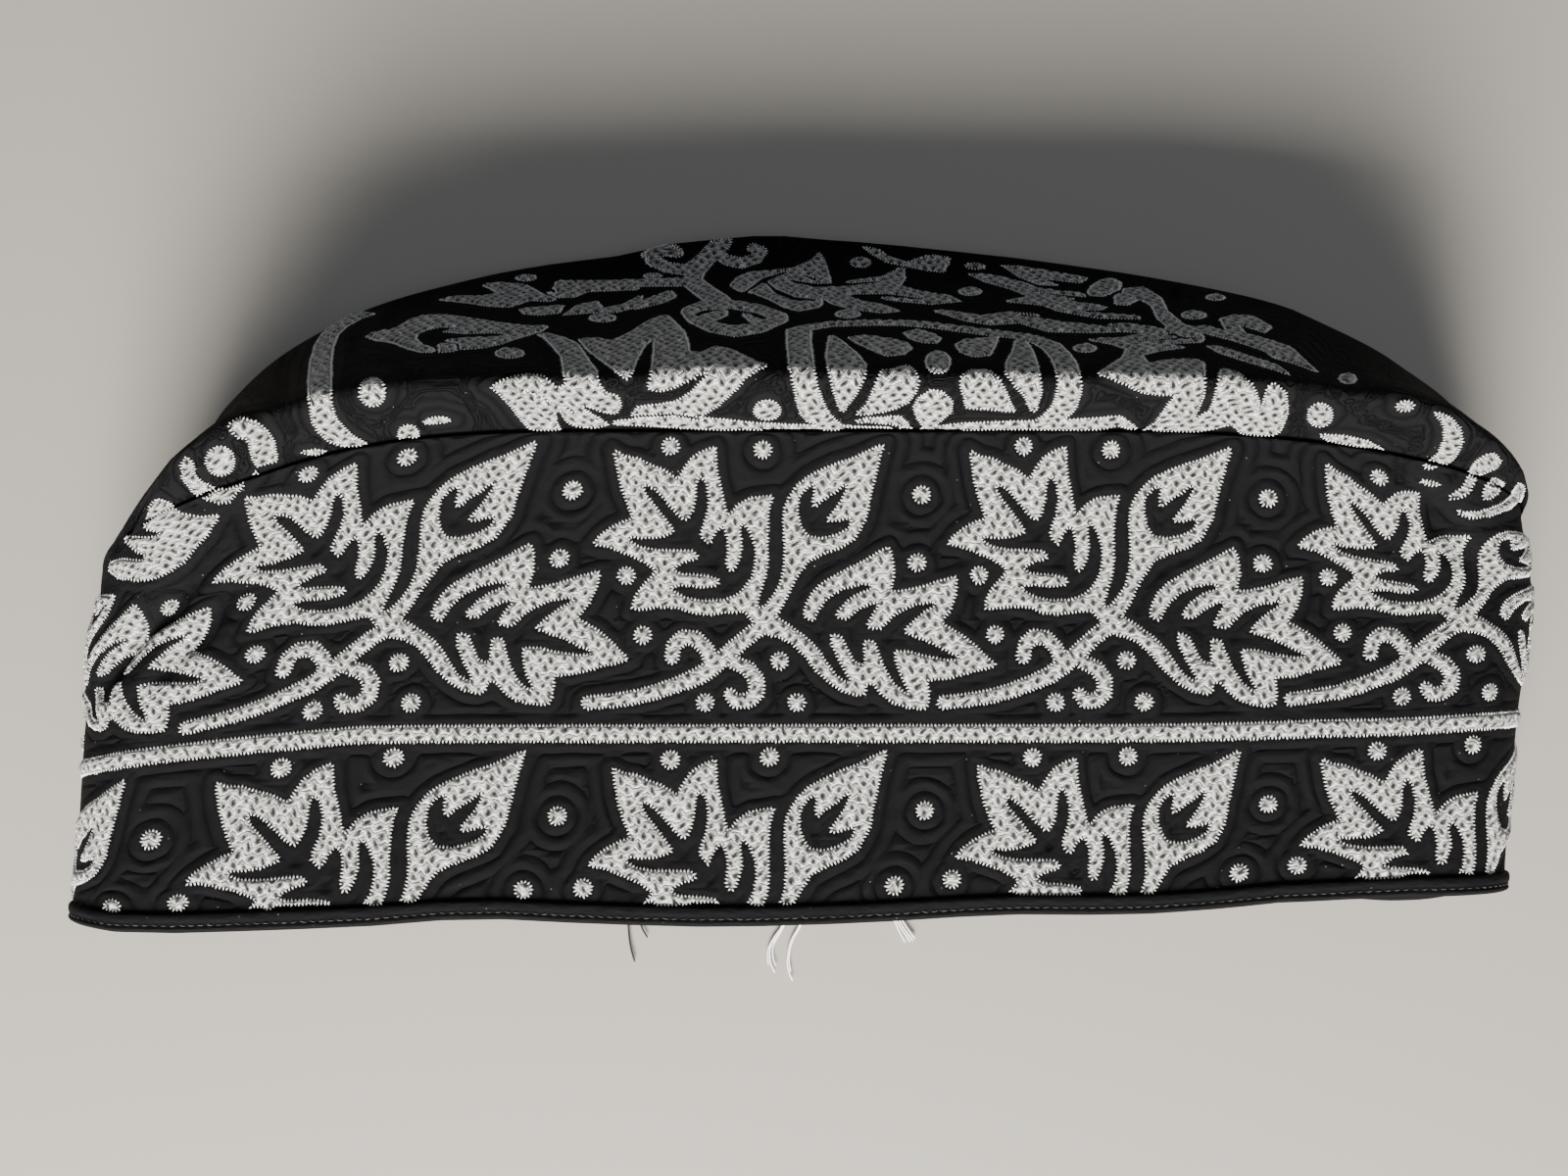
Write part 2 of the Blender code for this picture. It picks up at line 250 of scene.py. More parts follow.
# Needlework charts. One square of the chart is a pixel of the photo's frame; x to the right,
# y down. The band's sprig is charted once, round its crossing.
sprigChart = {
    "tile": (522.0, 430.0, 1046.0, 746.0),
    "crossing": (785.0, 635.0),
    "leafTall": (
        (625.9, 458.2), (638.5, 465.9), (651.8, 467.9), (663.5, 473.8), (678.2, 479.7), (691.5, 488.5),
        (697.4, 478.2), (704.7, 467.9), (716.5, 460.6), (731.8, 455.3), (732.1, 469.4), (733.2, 484.1),
        (737.1, 498.8), (740.6, 516.5), (742.9, 525.3), (751.8, 515), (763.5, 508.2), (778.2, 506.2),
        (791.5, 505.3), (786.5, 516.5), (784.7, 531.2), (784.1, 551.8), (784.7, 572.4), (782.6, 587.1),
        (777.6, 601.8), (772.9, 617.1), (778.2, 628.2), (766.5, 634.7), (759.1, 624.7), (740, 625.9),
        (722.4, 628.2), (707.6, 626.8), (690, 620.9), (672.4, 620), (654.7, 622.4), (642.4, 622.9),
        (645.9, 607.6), (653.2, 597.4), (662.1, 588.5), (667.1, 582.6), (660.6, 577.6), (648.8, 570.9),
        (634.1, 565), (617.9, 559.1), (601.2, 556.8), (610.6, 545.9), (620.9, 538.5), (634.1, 531.8),
        (644.4, 528.8), (640, 519.4), (635.6, 507.6), (631.2, 492.9), (628.2, 475.3)),
    "tallDark": (
        (658.5, 498.2), (667.1, 502.4), (678.2, 514.1), (688.5, 525.9), (698.2, 534.7), (703.2, 531.8),
        (708.2, 522.9), (711.2, 510.6), (712.1, 497.4), (714.7, 490), (718.8, 495.9), (721.5, 510.6),
        (719.4, 525.3), (714.7, 537.1), (712.1, 547.4), (719.4, 556.2), (724.4, 562.4), (726.8, 554.1),
        (731.2, 545.3), (736.5, 540.6), (739.7, 548.8), (740.6, 563.5), (738.5, 573.8), (741.5, 582.6),
        (745.9, 587.1), (751.2, 581.2), (756.2, 570.9), (758.8, 557.6), (757.1, 542.9), (757.6, 537.1),
        (762.9, 543.5), (768.2, 557.6), (768.8, 572.4), (765.6, 587.1), (758.2, 597.4), (750.3, 604.7),
        (737.1, 609.7), (716.5, 610.6), (698.8, 607.1), (686.5, 600.3), (698.8, 599.1), (716.5, 601.2),
        (731.2, 599.4), (737.1, 592.9), (732.6, 588.5), (722.4, 585.6), (707.6, 584.1), (695.9, 583.5),
        (689.4, 580.6), (698.8, 575.3), (709.1, 572.9), (716.5, 570), (712.1, 565), (707.6, 560),
        (687.1, 559.4), (669.4, 559.1), (653.2, 556.2), (643.8, 550.6), (656.2, 551.8), (670.9, 551.2),
        (684.1, 547.4), (691.5, 543.5), (684.7, 534.7), (672.4, 518.8), (661.5, 505.3)),
    "leafBud": (
        (903.2, 452.4), (887.1, 459.1), (872.4, 466.5), (854.7, 472.4), (837.1, 479.7), (822.4, 487.1),
        (812.1, 495.9), (804.7, 506.2), (799.4, 516.5), (797.6, 531.2), (798.2, 545.9), (799.4, 563.5),
        (798.2, 581.2), (794.4, 595.9), (787.1, 607.6), (778.2, 617.9), (772.9, 617.1), (778.2, 631.2),
        (793.5, 628.2), (800.3, 616.5), (806.2, 604.7), (812.1, 592.9), (817.9, 584.1), (825.3, 573.8),
        (840, 566.5), (857.6, 560.6), (872.4, 551.8), (879.7, 540), (885.6, 528.2), (888.5, 510.6),
        (892.9, 492.9), (897.4, 472.4)),
    "budDark": (
        (828.8, 498.8), (827.6, 510.6), (829.4, 523.8), (840, 513.5), (851.8, 506.2), (862.1, 498.2),
        (856.2, 510.6), (848.8, 520.9), (842.9, 528.2), (840, 535.6), (851.8, 534.7), (866.5, 531.8),
        (863.5, 538.5), (851.8, 544.4), (837.1, 547.4), (825.3, 545.3), (819.4, 537.1), (815.9, 525.3),
        (816.5, 510.6), (822.4, 502.4)),
    "leafWide": (
        (817.9, 628.2), (820.9, 616.5), (826.8, 604.7), (837.1, 594.4), (851.8, 585.6), (866.5, 578.2),
        (884.1, 569.4), (898.8, 560.6), (907.1, 556.2), (912.1, 569.4), (913.5, 587.1), (910, 601.8),
        (922.4, 601.2), (940, 597.4), (957.6, 591.5), (977.6, 586.5), (976.8, 604.7), (970.9, 622.4),
        (962.1, 634.7), (981.2, 645.9), (995.9, 657.6), (1007.6, 669.4), (1019.4, 679.7),
        (1001.8, 684.1), (984.1, 688.5), (966.5, 693.5), (947.4, 694.4), (948.8, 704.7),
        (948.2, 717.9), (944.4, 723.8), (928.2, 722.9), (910.6, 717.9), (898.8, 709.1), (890, 698.8),
        (884.1, 698.8), (884.1, 707.6), (876.8, 710.6), (860.6, 706.2), (845.9, 697.4), (831.2, 684.1),
        (820.9, 670.9), (807.6, 657.6), (795.9, 651.2), (780.6, 648.2), (775.3, 642.9), (778.2, 628.2),
        (793.5, 628.2), (807.6, 637.1), (815, 642.9), (817.9, 637.1)),
    "wideDark": (
        (807.6, 628.2), (817.9, 628.8), (823.8, 633.5), (831.8, 636.5), (835.6, 625.3), (841.5, 616.5),
        (851.8, 607.6), (863.5, 601.8), (879.7, 598.2), (887.6, 598.8), (872.4, 604.7), (860.6, 613.5),
        (853.2, 622.4), (849.4, 630.3), (856.2, 632.9), (865, 633.5), (876.8, 623.8), (885.6, 618.8),
        (894.1, 617.1), (888.5, 625.3), (884.1, 634.1), (881.2, 640), (890, 642.9), (900.3, 643.5),
        (904.7, 637.1), (916.5, 626.8), (931.2, 619.4), (952.4, 616.5), (940, 623.8), (928.2, 634.1),
        (916.5, 645.9), (928.2, 649.4), (948.8, 657.6), (966.5, 666.5), (975.9, 670.6), (966.5, 670.9),
        (942.9, 666.5), (928.2, 662.1), (910, 661.8), (912.1, 675.3), (916.5, 690), (925.3, 705.3),
        (913.5, 695.9), (904.7, 681.2), (897.4, 663.5), (894.4, 653.2), (888.5, 651.2), (879.7, 650.6),
        (879.7, 663.5), (880, 675.9), (872.4, 672.4), (865, 657.6), (860.6, 648.2), (853.2, 645),
        (844.7, 644.7), (847.4, 660.6), (854.7, 675.3), (865.3, 694.1), (854.7, 687.1), (845.9, 675.3),
        (838.5, 663.5), (829.7, 653.2), (819.4, 644.4), (807.6, 636.5)),
    "crossingPatch": (
        (766.5, 634.7), (772.9, 616.5), (793.5, 628.2), (780.6, 648.2)),
    "runs": (
        (
         (780.6, 637.6, 8.2), (766.5, 645.9, 8.8), (748.8, 660.6, 9.1), (731.2, 676.8, 9.4),
         (713.5, 688.5, 9.4), (692.9, 696.8, 8.5), (672.4, 703.8, 8.2), (648.8, 710, 7.9),
         (625.3, 713.5, 7.6), (599.4, 715.9, 7.6)),
        (
         (728.2, 678.2, 8.2), (721.2, 662.1, 8.2), (710, 650.6, 8.2), (696.5, 649.4, 8.2),
         (687.6, 657.1, 8.2), (685.3, 670, 7.9)),
        (
         (748.8, 675.3, 7.6), (763.5, 681.8, 8.5), (772.4, 693.5, 8.5), (771.5, 707.1, 8.5),
         (762.9, 714.1, 8.2), (750.3, 714.7, 7.9), (744.7, 707.6, 7.1)),
    ),
    "dots": (
        (684.7, 457.1), (778.2, 460.6), (940, 506.2), (935.6, 574.4), (638.5, 587.1), (655.3, 647.4),
        (795.3, 673.8), (719.4, 715.9), (812.6, 715.9)),
    "dotRadius": 9.8,
    "veinsWider": 0.9,
    "lowerDots": ((685, 456), (784, 457), (573, 507), (541, 579), (600, 577)),
    "cutLine": 600.0,
}
farAway = 60.0  # squares of the chart, past which a distance isn't followed

bandPlan = {
    "squaresPerMm": 5.66,
    "crossingUp": 52.6,
    "lowerShift": -55.4,
    "girth": 576.0,
    "hidden": 4,
    "stripeUp": 32.8,
    "stripeHalf": 1.38,
    "foot": 4.0,
    "top": 86.2,
    "backSeam": 279.0,
    "grow": -0.28,
    "hiddenWide": 0.97,
    "sprigHalf": 62.0,
    "dipFades": 40.0,
    "dipFoot": 12.0,
}
# where each sprig that shows is stitched: across, how wide its left and right sides are,
# lean of its uprights, and how far its left side hangs down
upperPlaces = (
    (-140.0, 1.06, 1.06, 0.10, 0.0),
    (-70.5, 1.065, 1.065, 0.14, 0.03),
    (-2.6, 1.0, 1.0, 0.0, 0.0),
    (59.8, 0.95, 1.0, 0.0, 0.0),
    (122.6, 0.95, 1.08, 0.03, 0.0),
)
lowerPlaces = (
    (-141.0, 1.1, 1.1, 0.0, 0.0),
    (-70.1, 1.15, 1.15, 0.0, 0.038),
    (-2.4, 1.02, 1.02, 0.0, 0.04),
    (61.9, 0.98, 0.98, 0.0, 0.02),
    (124.2, 1.0, 1.06, 0.0, 0.02),
)
# the cloth hangs lower than its row at the two ends: across, over how far, how much
dips = ((-76.0, -50.0, 3.3), (96.0, 38.0, 1.7))
# outside these lines the crown's cloth is folded down over the band, in the photo's frame
foldedOver = (
    ((268, 440), (268, 478), (240, 505), (217, 538), (199, 572), (186, 592), (140, 604), (60, 606),
     (60, 440)),
    ((1437, 440), (1437, 482), (1452, 499), (1465, 510), (1480, 521), (1496, 532), (1522, 533), (1547, 523),
     (1562, 505), (1590, 496), (1590, 440)),
)
foldPlan = {"half": 150.0, "gap": 0.5, "grow": 0.2}
# the band's upper row is pressed lower at the right end
pressedRow = {"from": 96.0, "over": 22.0, "share": 0.2, "ends": 190.0, "endsOver": 40.0}


def outlineField(outline, x, y):
    # distance inside an outline, less than nothing outside it
    spots = np.array(outline, float)
    field = np.full(x.shape, farAway)
    inside = np.zeros(x.shape, bool)
    for (ax, ay), (bx, by) in zip(spots, np.roll(spots, -1, axis=0)):
        ex, ey = bx - ax, by - ay
        t = np.clip(((x - ax) * ex + (y - ay) * ey) / (ex * ex + ey * ey), 0, 1)
        field = np.minimum(field, np.hypot(x - ax - t * ex, y - ay - t * ey))
        crosses = (ay > y) != (by > y)
        with np.errstate(divide="ignore", invalid="ignore"):
            side = x < ax + (y - ay) * ex / ey
        inside ^= crosses & side
    return np.where(inside, field, -field)


def runField(run, x, y):
    # distance inside a run of thread whose half width changes along it
    field = np.full(x.shape, -1e3)
    for (ax, ay, aw), (bx, by, bw) in zip(run, run[1:]):
        ex, ey = bx - ax, by - ay
        t = np.clip(((x - ax) * ex + (y - ay) * ey) / (ex * ex + ey * ey), 0, 1)
        field = np.maximum(field, aw + (bw - aw) * t - np.hypot(x - ax - t * ex, y - ay - t * ey))
    return field


def sprigTile(dots, cut):
    # the whole sprig as a field on a tile of chart squares
    chart = sprigChart
    x0, y0, x1, y1 = chart["tile"]
    x, y = np.meshgrid(np.arange(x0, x1), np.arange(y0, y1))
    made = np.full(x.shape, -farAway)
    for leaf, dark in (("leafTall", "tallDark"), ("leafBud", "budDark"), ("leafWide", "wideDark")):
        if cut and leaf == "leafWide":
            continue
        veins = -outlineField(chart[dark], x, y) - chart["veinsWider"]
        made = np.maximum(made, np.minimum(outlineField(chart[leaf], x, y), veins))
    if cut:
        made = np.minimum(made, chart["cutLine"] - y)
    else:
        made = np.maximum(made, outlineField(chart["crossingPatch"], x, y))
        for run in chart["runs"]:
            made = np.maximum(made, runField(run, x, y))
    for dx, dy in dots:
        made = np.maximum(made, chart["dotRadius"] - np.hypot(x - dx, y - dy))
    return made, x0, y0


def lookUp(tile, x, y):
    # smooth reading between the squares of a tile, and less and less away from it
    field, x0, y0 = tile
    fx, fy = np.clip(x - x0, 0, field.shape[1] - 1.001), np.clip(y - y0, 0, field.shape[0] - 1.001)
    ix, iy = fx.astype(int), fy.astype(int)
    rx, ry = fx - ix, fy - iy
    value = (field[iy, ix] * (1 - rx) * (1 - ry) + field[iy, ix + 1] * rx * (1 - ry)
             + field[iy + 1, ix] * (1 - rx) * ry + field[iy + 1, ix + 1] * rx * ry)
    away = np.hypot(x - x0 - fx, y - y0 - fy)
    return np.where(away > 1.0, np.minimum(value, 0) - away, value)


def spread(places):
    # the sprigs that show, and the hidden ones evenly between them round the back
    first, last = places[0][0], places[-1][0]
    step = (bandPlan["girth"] - (last - first)) / (bandPlan["hidden"] + 1)
    counts = range(1, bandPlan["hidden"])
    wide = bandPlan["hiddenWide"]
    middles = [last + step * k for k in counts] + [first - step * k for k in counts]
    return list(places) + [(middle, wide, wide, 0.0, 0.0) for middle in middles]


def rowField(tile, places, around, rise):
    scale = bandPlan["squaresPerMm"]
    cx, cy = sprigChart["crossing"]
    field = np.full(around.shape, -farAway)
    for place, wideLeft, wideRight, lean, tilt in spread(places):
        near = np.abs(around - place) < bandPlan["sprigHalf"]
        across = (around[near] - place) * scale
        up = rise[near] * scale
        across = across - lean * up
        across = cx + across / np.where(across < 0, wideLeft, wideRight)
        field[near] = np.maximum(field[near], lookUp(tile, across, cy - up + tilt * (across - cx)))
    return field / scale


def bandField(around, up):
    # raised thread of the band, in millimetres inside the nearest edge
    upperTile = sprigTile(sprigChart["dots"], False)
    lowerTile = sprigTile(sprigChart["lowerDots"], True)
    calm = np.clip(1 - (up - bandPlan["stripeUp"]) / bandPlan["dipFades"], 0, 1)
    calm = calm * np.clip(up / bandPlan["dipFoot"], 0, 1)
    for start, length, depth in dips:
        up = up + depth * np.clip((around - start) / length, 0, 1) * calm
    row = pressedRow
    pressed = row["share"] * np.clip((around - row["from"]) / row["over"], 0, 1)
    pressed = pressed * np.clip((row["ends"] - around) / row["endsOver"], 0, 1)
    rise = up - bandPlan["crossingUp"]
    rise = rise + np.maximum(rise, 0) * pressed
    upper = rowField(upperTile, upperPlaces, around, rise)
    lower = rowField(lowerTile, lowerPlaces, around, up - bandPlan["crossingUp"] - bandPlan["lowerShift"])
    stripe = bandPlan["stripeHalf"] - np.abs(up - bandPlan["stripeUp"])
    grow = bandPlan["grow"]
    return upper + grow, lower + grow, stripe


def withFold(upper, points, runs):
    # the crown's pattern runs on over the folds at the two ends
    x, y = chartOf(points)
    over = np.maximum(*(outlineField(fold, x, y) for fold in foldedOver))
    over = np.where(np.abs(runs) < foldPlan["half"], over, -farAway)
    chart = lookUp(crownTileMade, x, y)
    scale = bandPlan["squaresPerMm"]
    kept = np.minimum(upper, -over / scale - foldPlan["gap"])
    return np.maximum(kept, np.minimum(chart, over) / scale - foldPlan["grow"])


# The crown is charted as it is seen from the camera and laid on the cloth from there
crownChart = {
    "tile": (90, 232, 1575, 640),
    "near": 30,
    "outlines": (
        # ring round the flower, and its petals
        ((803, 337), (803, 350), (805, 370), (808, 385), (812, 400), (814, 412), (818, 423), (825, 430),
         (840, 435), (864, 437), (856, 431), (846, 422), (840, 411), (836, 400), (832, 385), (829, 365),
         (827, 350), (827, 337), (850, 333.5), (880, 332.5), (920, 332.5), (950, 335), (980, 339),
         (1010, 343), (1038, 346), (1053, 350), (1065, 357), (1073, 367), (1078, 379), (1080, 392),
         (1078, 405), (1073, 415), (1065, 423), (1055, 430), (1035, 435), (1062, 436), (1075, 432),
         (1088, 426), (1096, 418), (1101, 407), (1104, 395), (1102, 384), (1098, 371), (1090, 360),
         (1080, 351), (1060, 344), (1030, 340), (980, 334), (950, 330), (920, 328), (880, 328),
         (850, 329), (825, 332)),
        ((848, 342), (855, 346), (863, 352), (875, 362), (883, 372), (883, 382), (878, 393), (872, 404),
         (864, 413), (861, 420), (858, 418), (854, 408), (850, 395), (846, 380), (843, 365), (845, 350)),
        ((900, 378), (912, 377), (925, 373), (933, 378), (938, 388), (934, 400), (926, 410), (915, 416),
         (900, 420), (880, 423), (874, 422), (885, 412), (890, 400), (895, 388)),
        ((870, 430), (885, 426), (905, 425), (918, 424), (925, 430), (928, 436), (905, 432), (885, 430)),
        ((950, 397), (962, 399), (972, 410), (970, 420), (958, 430), (950, 438), (944, 436), (936, 425),
         (933, 415), (938, 405)),
        ((865, 345), (880, 343), (905, 346), (925, 350), (930, 356), (922, 362), (905, 364), (890, 358),
         (875, 351)),
        ((922, 340), (935, 337), (952, 341), (960, 346), (955, 351), (940, 350), (928, 346)),
        ((975, 352), (985, 347), (1005, 346), (1018, 343), (1016, 352), (1010, 363), (995, 365), (980, 360)),
        ((980, 385), (990, 378), (1008, 378), (1018, 385), (1026, 398), (1032, 413), (1036, 420),
         (1010, 417), (986, 416), (985, 405), (980, 395)),
        ((1040, 345), (1048, 350), (1054, 360), (1058, 372), (1062, 388), (1062, 402), (1058, 415),
         (1055, 420), (1050, 415), (1047, 405), (1038, 395), (1027, 382), (1027, 370), (1033, 360),
         (1036, 350)),
        # leaves left of the ring
        ((590, 347), (610, 346), (625, 348), (640, 342), (655, 332), (668, 325), (682, 323), (690, 331),
         (698, 339), (702, 350), (703, 359), (715, 361), (730, 354), (745, 357), (760, 364), (772, 370),
         (784, 373), (772, 378), (760, 386), (752, 396), (742, 405), (732, 414), (720, 421), (710, 427),
         (690, 428), (670, 424), (643, 425), (652, 414), (672, 412), (690, 409), (706, 399), (716, 388),
         (726, 379), (712, 382), (700, 389), (686, 396), (672, 399), (661, 396), (665, 380), (667, 362),
         (668, 345), (658, 353), (650, 367), (645, 380), (640, 388), (630, 380), (612, 367), (600, 358)),
        ((500, 395), (510, 389), (525, 384), (540, 382), (555, 384), (562, 390), (570, 396), (578, 390),
         (575, 378), (573, 365), (565, 355), (555, 345), (548, 342), (560, 341), (575, 345), (590, 352),
         (600, 368), (608, 378), (612, 392), (618, 400), (630, 403), (634, 412), (628, 422), (615, 420),
         (605, 416), (592, 413), (602, 421), (613, 428), (622, 433), (605, 436), (590, 435), (579, 430),
         (573, 420), (566, 418), (567, 428), (572, 438), (555, 440), (540, 437), (530, 425), (520, 412),
         (508, 400)),
        # bud and arc at the left
        ((373, 344), (385, 339), (402, 337), (415, 329), (432, 323), (455, 322), (485, 326), (515, 331),
         (545, 334), (560, 333), (552, 339), (530, 345), (510, 352), (490, 356), (470, 357), (470, 351),
         (452, 348), (475, 346), (505, 345), (520, 341), (500, 340), (475, 341), (452, 339), (468, 335),
         (452, 334), (435, 337), (426, 341), (424, 346), (430, 352), (442, 356), (444, 360), (430, 360),
         (415, 356), (400, 350), (385, 348)),
        ((383, 321), (370, 325), (355, 333), (345, 342), (340, 355), (338, 370), (338, 390), (338, 410),
         (342, 425), (350, 435), (360, 444), (372, 451), (378, 454), (350, 455), (335, 450), (325, 440),
         (318, 428), (316, 410), (315, 390), (317, 370), (322, 352), (330, 340), (340, 330), (352, 324),
         (368, 319)),
        ((448, 351), (464, 352), (465, 359), (448, 360)),
        ((432, 430), (440, 426), (452, 425), (461, 428), (450, 431), (435, 432)),
        ((305, 461), (320, 458), (333, 460), (320, 464)),
        ((232, 433), (245, 426), (262, 430), (272, 438), (280, 450), (283, 470), (262, 476), (257, 465),
         (255, 452), (250, 446), (243, 447), (235, 438)),
        ((190, 465), (185, 475), (187, 488), (195, 500), (207, 509), (222, 514), (240, 512), (252, 500),
         (262, 485), (268, 476), (258, 484), (246, 493), (232, 498), (218, 497), (205, 491), (198, 482),
         (197, 472)),
        ((160, 508), (172, 512), (185, 522), (205, 526), (225, 524), (243, 520), (232, 532), (222, 542),
         (208, 550), (198, 562), (188, 574), (172, 585), (155, 592), (140, 593), (120, 590), (110, 582),
         (112, 573), (125, 569), (145, 571), (148, 568), (135, 560), (126, 550), (130, 546), (150, 547),
         (163, 545), (148, 540), (145, 530), (150, 518)),
        # sprigs behind the ridge, left and middle
        ((492, 291), (505, 289), (530, 290), (560, 298), (575, 304), (560, 308), (540, 307), (520, 314),
         (500, 313), (480, 310), (445, 306), (470, 303), (495, 303), (510, 300)),
        ((530, 316), (560, 314), (575, 312), (570, 320), (550, 322), (535, 321)),
        ((565, 293), (590, 290), (640, 288), (655, 291), (650, 296), (600, 298), (585, 304), (570, 303)),
        ((590, 312), (610, 308), (615, 316), (635, 312), (650, 304), (656, 302), (650, 314), (630, 319),
         (600, 320), (575, 322)),
        ((640, 314), (665, 304), (685, 297), (690, 303), (678, 309), (650, 316)),
        ((745, 292), (752, 284), (765, 278), (785, 277), (810, 274), (828, 266), (836, 258), (842, 268),
         (846, 282), (848, 290), (870, 287), (900, 283), (915, 276), (922, 272), (923, 285), (918, 292),
         (940, 298), (970, 303), (980, 308), (950, 311), (910, 307), (880, 301), (860, 302), (880, 308),
         (905, 313), (918, 318), (900, 320), (870, 316), (850, 311), (838, 304), (838, 311), (835, 314),
         (815, 318), (800, 314), (785, 306), (770, 300), (755, 298)),
        ((880, 252), (895, 254), (905, 262), (925, 268), (945, 262), (965, 260), (968, 266), (962, 278),
         (945, 276), (925, 272), (905, 268), (890, 260)),
        # behind the ridge, right
        ((950, 317), (975, 319), (1000, 323), (1030, 319), (1055, 321), (1085, 330), (1110, 332),
         (1150, 331), (1180, 335), (1195, 340), (1180, 342), (1150, 339), (1110, 340), (1070, 339),
         (1040, 330), (1010, 332), (985, 328)),
        ((988, 280), (1010, 281), (1040, 288), (1060, 295), (1080, 298), (1105, 300), (1108, 305),
         (1085, 306), (1100, 310), (1130, 314), (1120, 317), (1090, 316), (1110, 320), (1160, 323),
         (1165, 326), (1120, 325), (1080, 318), (1065, 312), (1025, 308), (1050, 303), (1030, 295),
         (1005, 288)),
        ((1022, 271), (1045, 273), (1080, 279), (1110, 284), (1100, 289), (1075, 286), (1062, 285),
         (1080, 292), (1060, 291), (1040, 283)),
        ((1110, 297), (1120, 288), (1135, 284), (1143, 289), (1142, 296), (1125, 303), (1112, 302)),
        ((1138, 302), (1155, 297), (1161, 306), (1150, 312), (1138, 311)),
        ((1120, 382), (1132, 374), (1145, 366), (1150, 357), (1135, 352), (1108, 347), (1140, 346),
         (1170, 341), (1195, 343), (1222, 350), (1200, 351), (1180, 351), (1210, 355), (1180, 359),
         (1165, 363), (1172, 372), (1190, 368), (1215, 368), (1228, 370), (1229, 385), (1229, 400),
         (1225, 412), (1217, 428), (1235, 418), (1240, 405), (1243, 390), (1246, 377), (1262, 380),
         (1278, 392), (1283, 405), (1287, 418), (1293, 395), (1300, 390), (1312, 400), (1314, 420),
         (1306, 440), (1290, 448), (1275, 447), (1265, 440), (1258, 432), (1240, 437), (1220, 440),
         (1190, 440), (1165, 440), (1180, 430), (1190, 415), (1200, 403), (1180, 402), (1165, 400),
         (1150, 392), (1135, 386)),
        ((1245, 326), (1260, 322), (1280, 324), (1297, 334), (1290, 340), (1272, 334), (1263, 332),
         (1272, 342), (1292, 347), (1318, 356), (1335, 372), (1345, 381), (1322, 372), (1300, 366),
         (1283, 352), (1262, 345), (1250, 336)),
        ((1230, 353), (1250, 356), (1280, 366), (1302, 373), (1318, 384), (1300, 378), (1270, 369),
         (1245, 361)),
        # right end: arc, small ring and strips
        ((1462, 420), (1480, 425), (1490, 437), (1492, 450), (1486, 464), (1475, 474), (1460, 479),
         (1445, 475), (1458, 470), (1468, 462), (1474, 448), (1474, 436), (1470, 427)),
        ((1524, 462), (1532, 471), (1525, 478), (1512, 483), (1505, 492), (1500, 503), (1488, 510),
         (1470, 509), (1480, 504), (1492, 496), (1497, 485), (1505, 472), (1515, 464)),
        ((1512, 505), (1515, 494), (1525, 487), (1534, 492), (1530, 503), (1520, 510), (1513, 510)),
        ((1480, 516), (1492, 521), (1510, 521), (1530, 514), (1542, 504), (1550, 492), (1556, 498),
         (1552, 510), (1540, 520), (1520, 527), (1500, 529), (1488, 525)),
        ((1345, 443), (1370, 444), (1395, 449), (1407, 456), (1425, 465), (1400, 459), (1375, 453),
         (1355, 449)),
        ((1443, 486), (1455, 489), (1470, 492), (1469, 497), (1456, 495), (1446, 491)),
    ),
    # half width third, as in the sprig
    "runs": (((738, 247, 8), (722, 262, 8), (711, 276, 8), (706, 288, 8), (722, 300, 8), (738, 309, 7)),
             ((712, 268, 5), (700, 276, 5), (680, 273, 5), (666, 266, 5), (665, 259, 5), (678, 255, 5),
              (692, 259, 4)),
             ((730, 258, 5), (742, 266, 5), (757, 269, 5), (772, 264, 5), (777, 257, 5), (767, 253, 4)),
             ((570, 290, 3), (620, 290, 3), (660, 289, 3.5), (705, 288, 4)),
             ((700, 319, 4), (716, 313, 4), (745, 311, 4), (775, 316, 4), (798, 325, 5), (775, 335, 5),
              (750, 339, 5), (725, 334, 5), (706, 326, 4), (700, 319, 4)),
             ((718, 325, 3), (728, 324, 4), (739, 320, 3)),
             ((761, 322, 2), (768, 327, 3), (776, 330, 3)),
             ((1150, 300, 5), (1166, 300, 6), (1180, 309, 6), (1186, 322, 6), (1202, 335, 6),
              (1222, 345, 5)),
             ((1192, 337, 3), (1230, 337, 3.5), (1262, 345, 4), (1292, 355, 4))),
    # dots: place, half width and half height as seen
    "dots": ((957, 370, 12, 11), (380, 400, 13, 14), (417, 443, 10, 9.5), (783, 418, 13, 10),
             (520, 361, 14, 5), (615, 325, 13, 4), (865, 321, 12, 4), (878, 268, 10, 5),
             (990, 298, 11, 4), (1107, 356, 11, 4), (1347, 423, 12, 12), (1407, 476, 9, 8),
             (1218, 322, 12, 4), (537, 284, 10, 3), (225, 470, 14, 15), (995, 272, 9, 3),
             (1240, 304, 9, 3), (1375, 387, 8, 5), (1434, 414, 9, 5), (666, 282, 9, 2.5)),
    # dark lines inside the leaves
    "darks": (((760, 299, 1.5), (778, 287, 3), (803, 278, 1.5)),
              ((782, 289, 2), (792, 298, 3), (812, 306, 2.5), (832, 307, 1.5)),
              ((806, 287, 1.5), (832, 292, 2.5), (866, 291, 2), (898, 288, 1)),
              ((868, 302, 1.5), (904, 302, 2), (942, 306, 1.5)),
              ((818, 281, 1), (832, 286, 2)),
              ((585, 307, 1), (620, 306, 1.5), (655, 301, 1)),
              ((513, 390, 0.7), (560, 408, 0.8), (612, 431, 0.7)),
              ((540, 292, 1), (556, 300, 1.5), (575, 307, 1)),
              ((1040, 322, 1), (1090, 328, 1.8), (1150, 336, 1)),
              ((1160, 349, 1), (1190, 347, 1.5), (1222, 345, 1)),
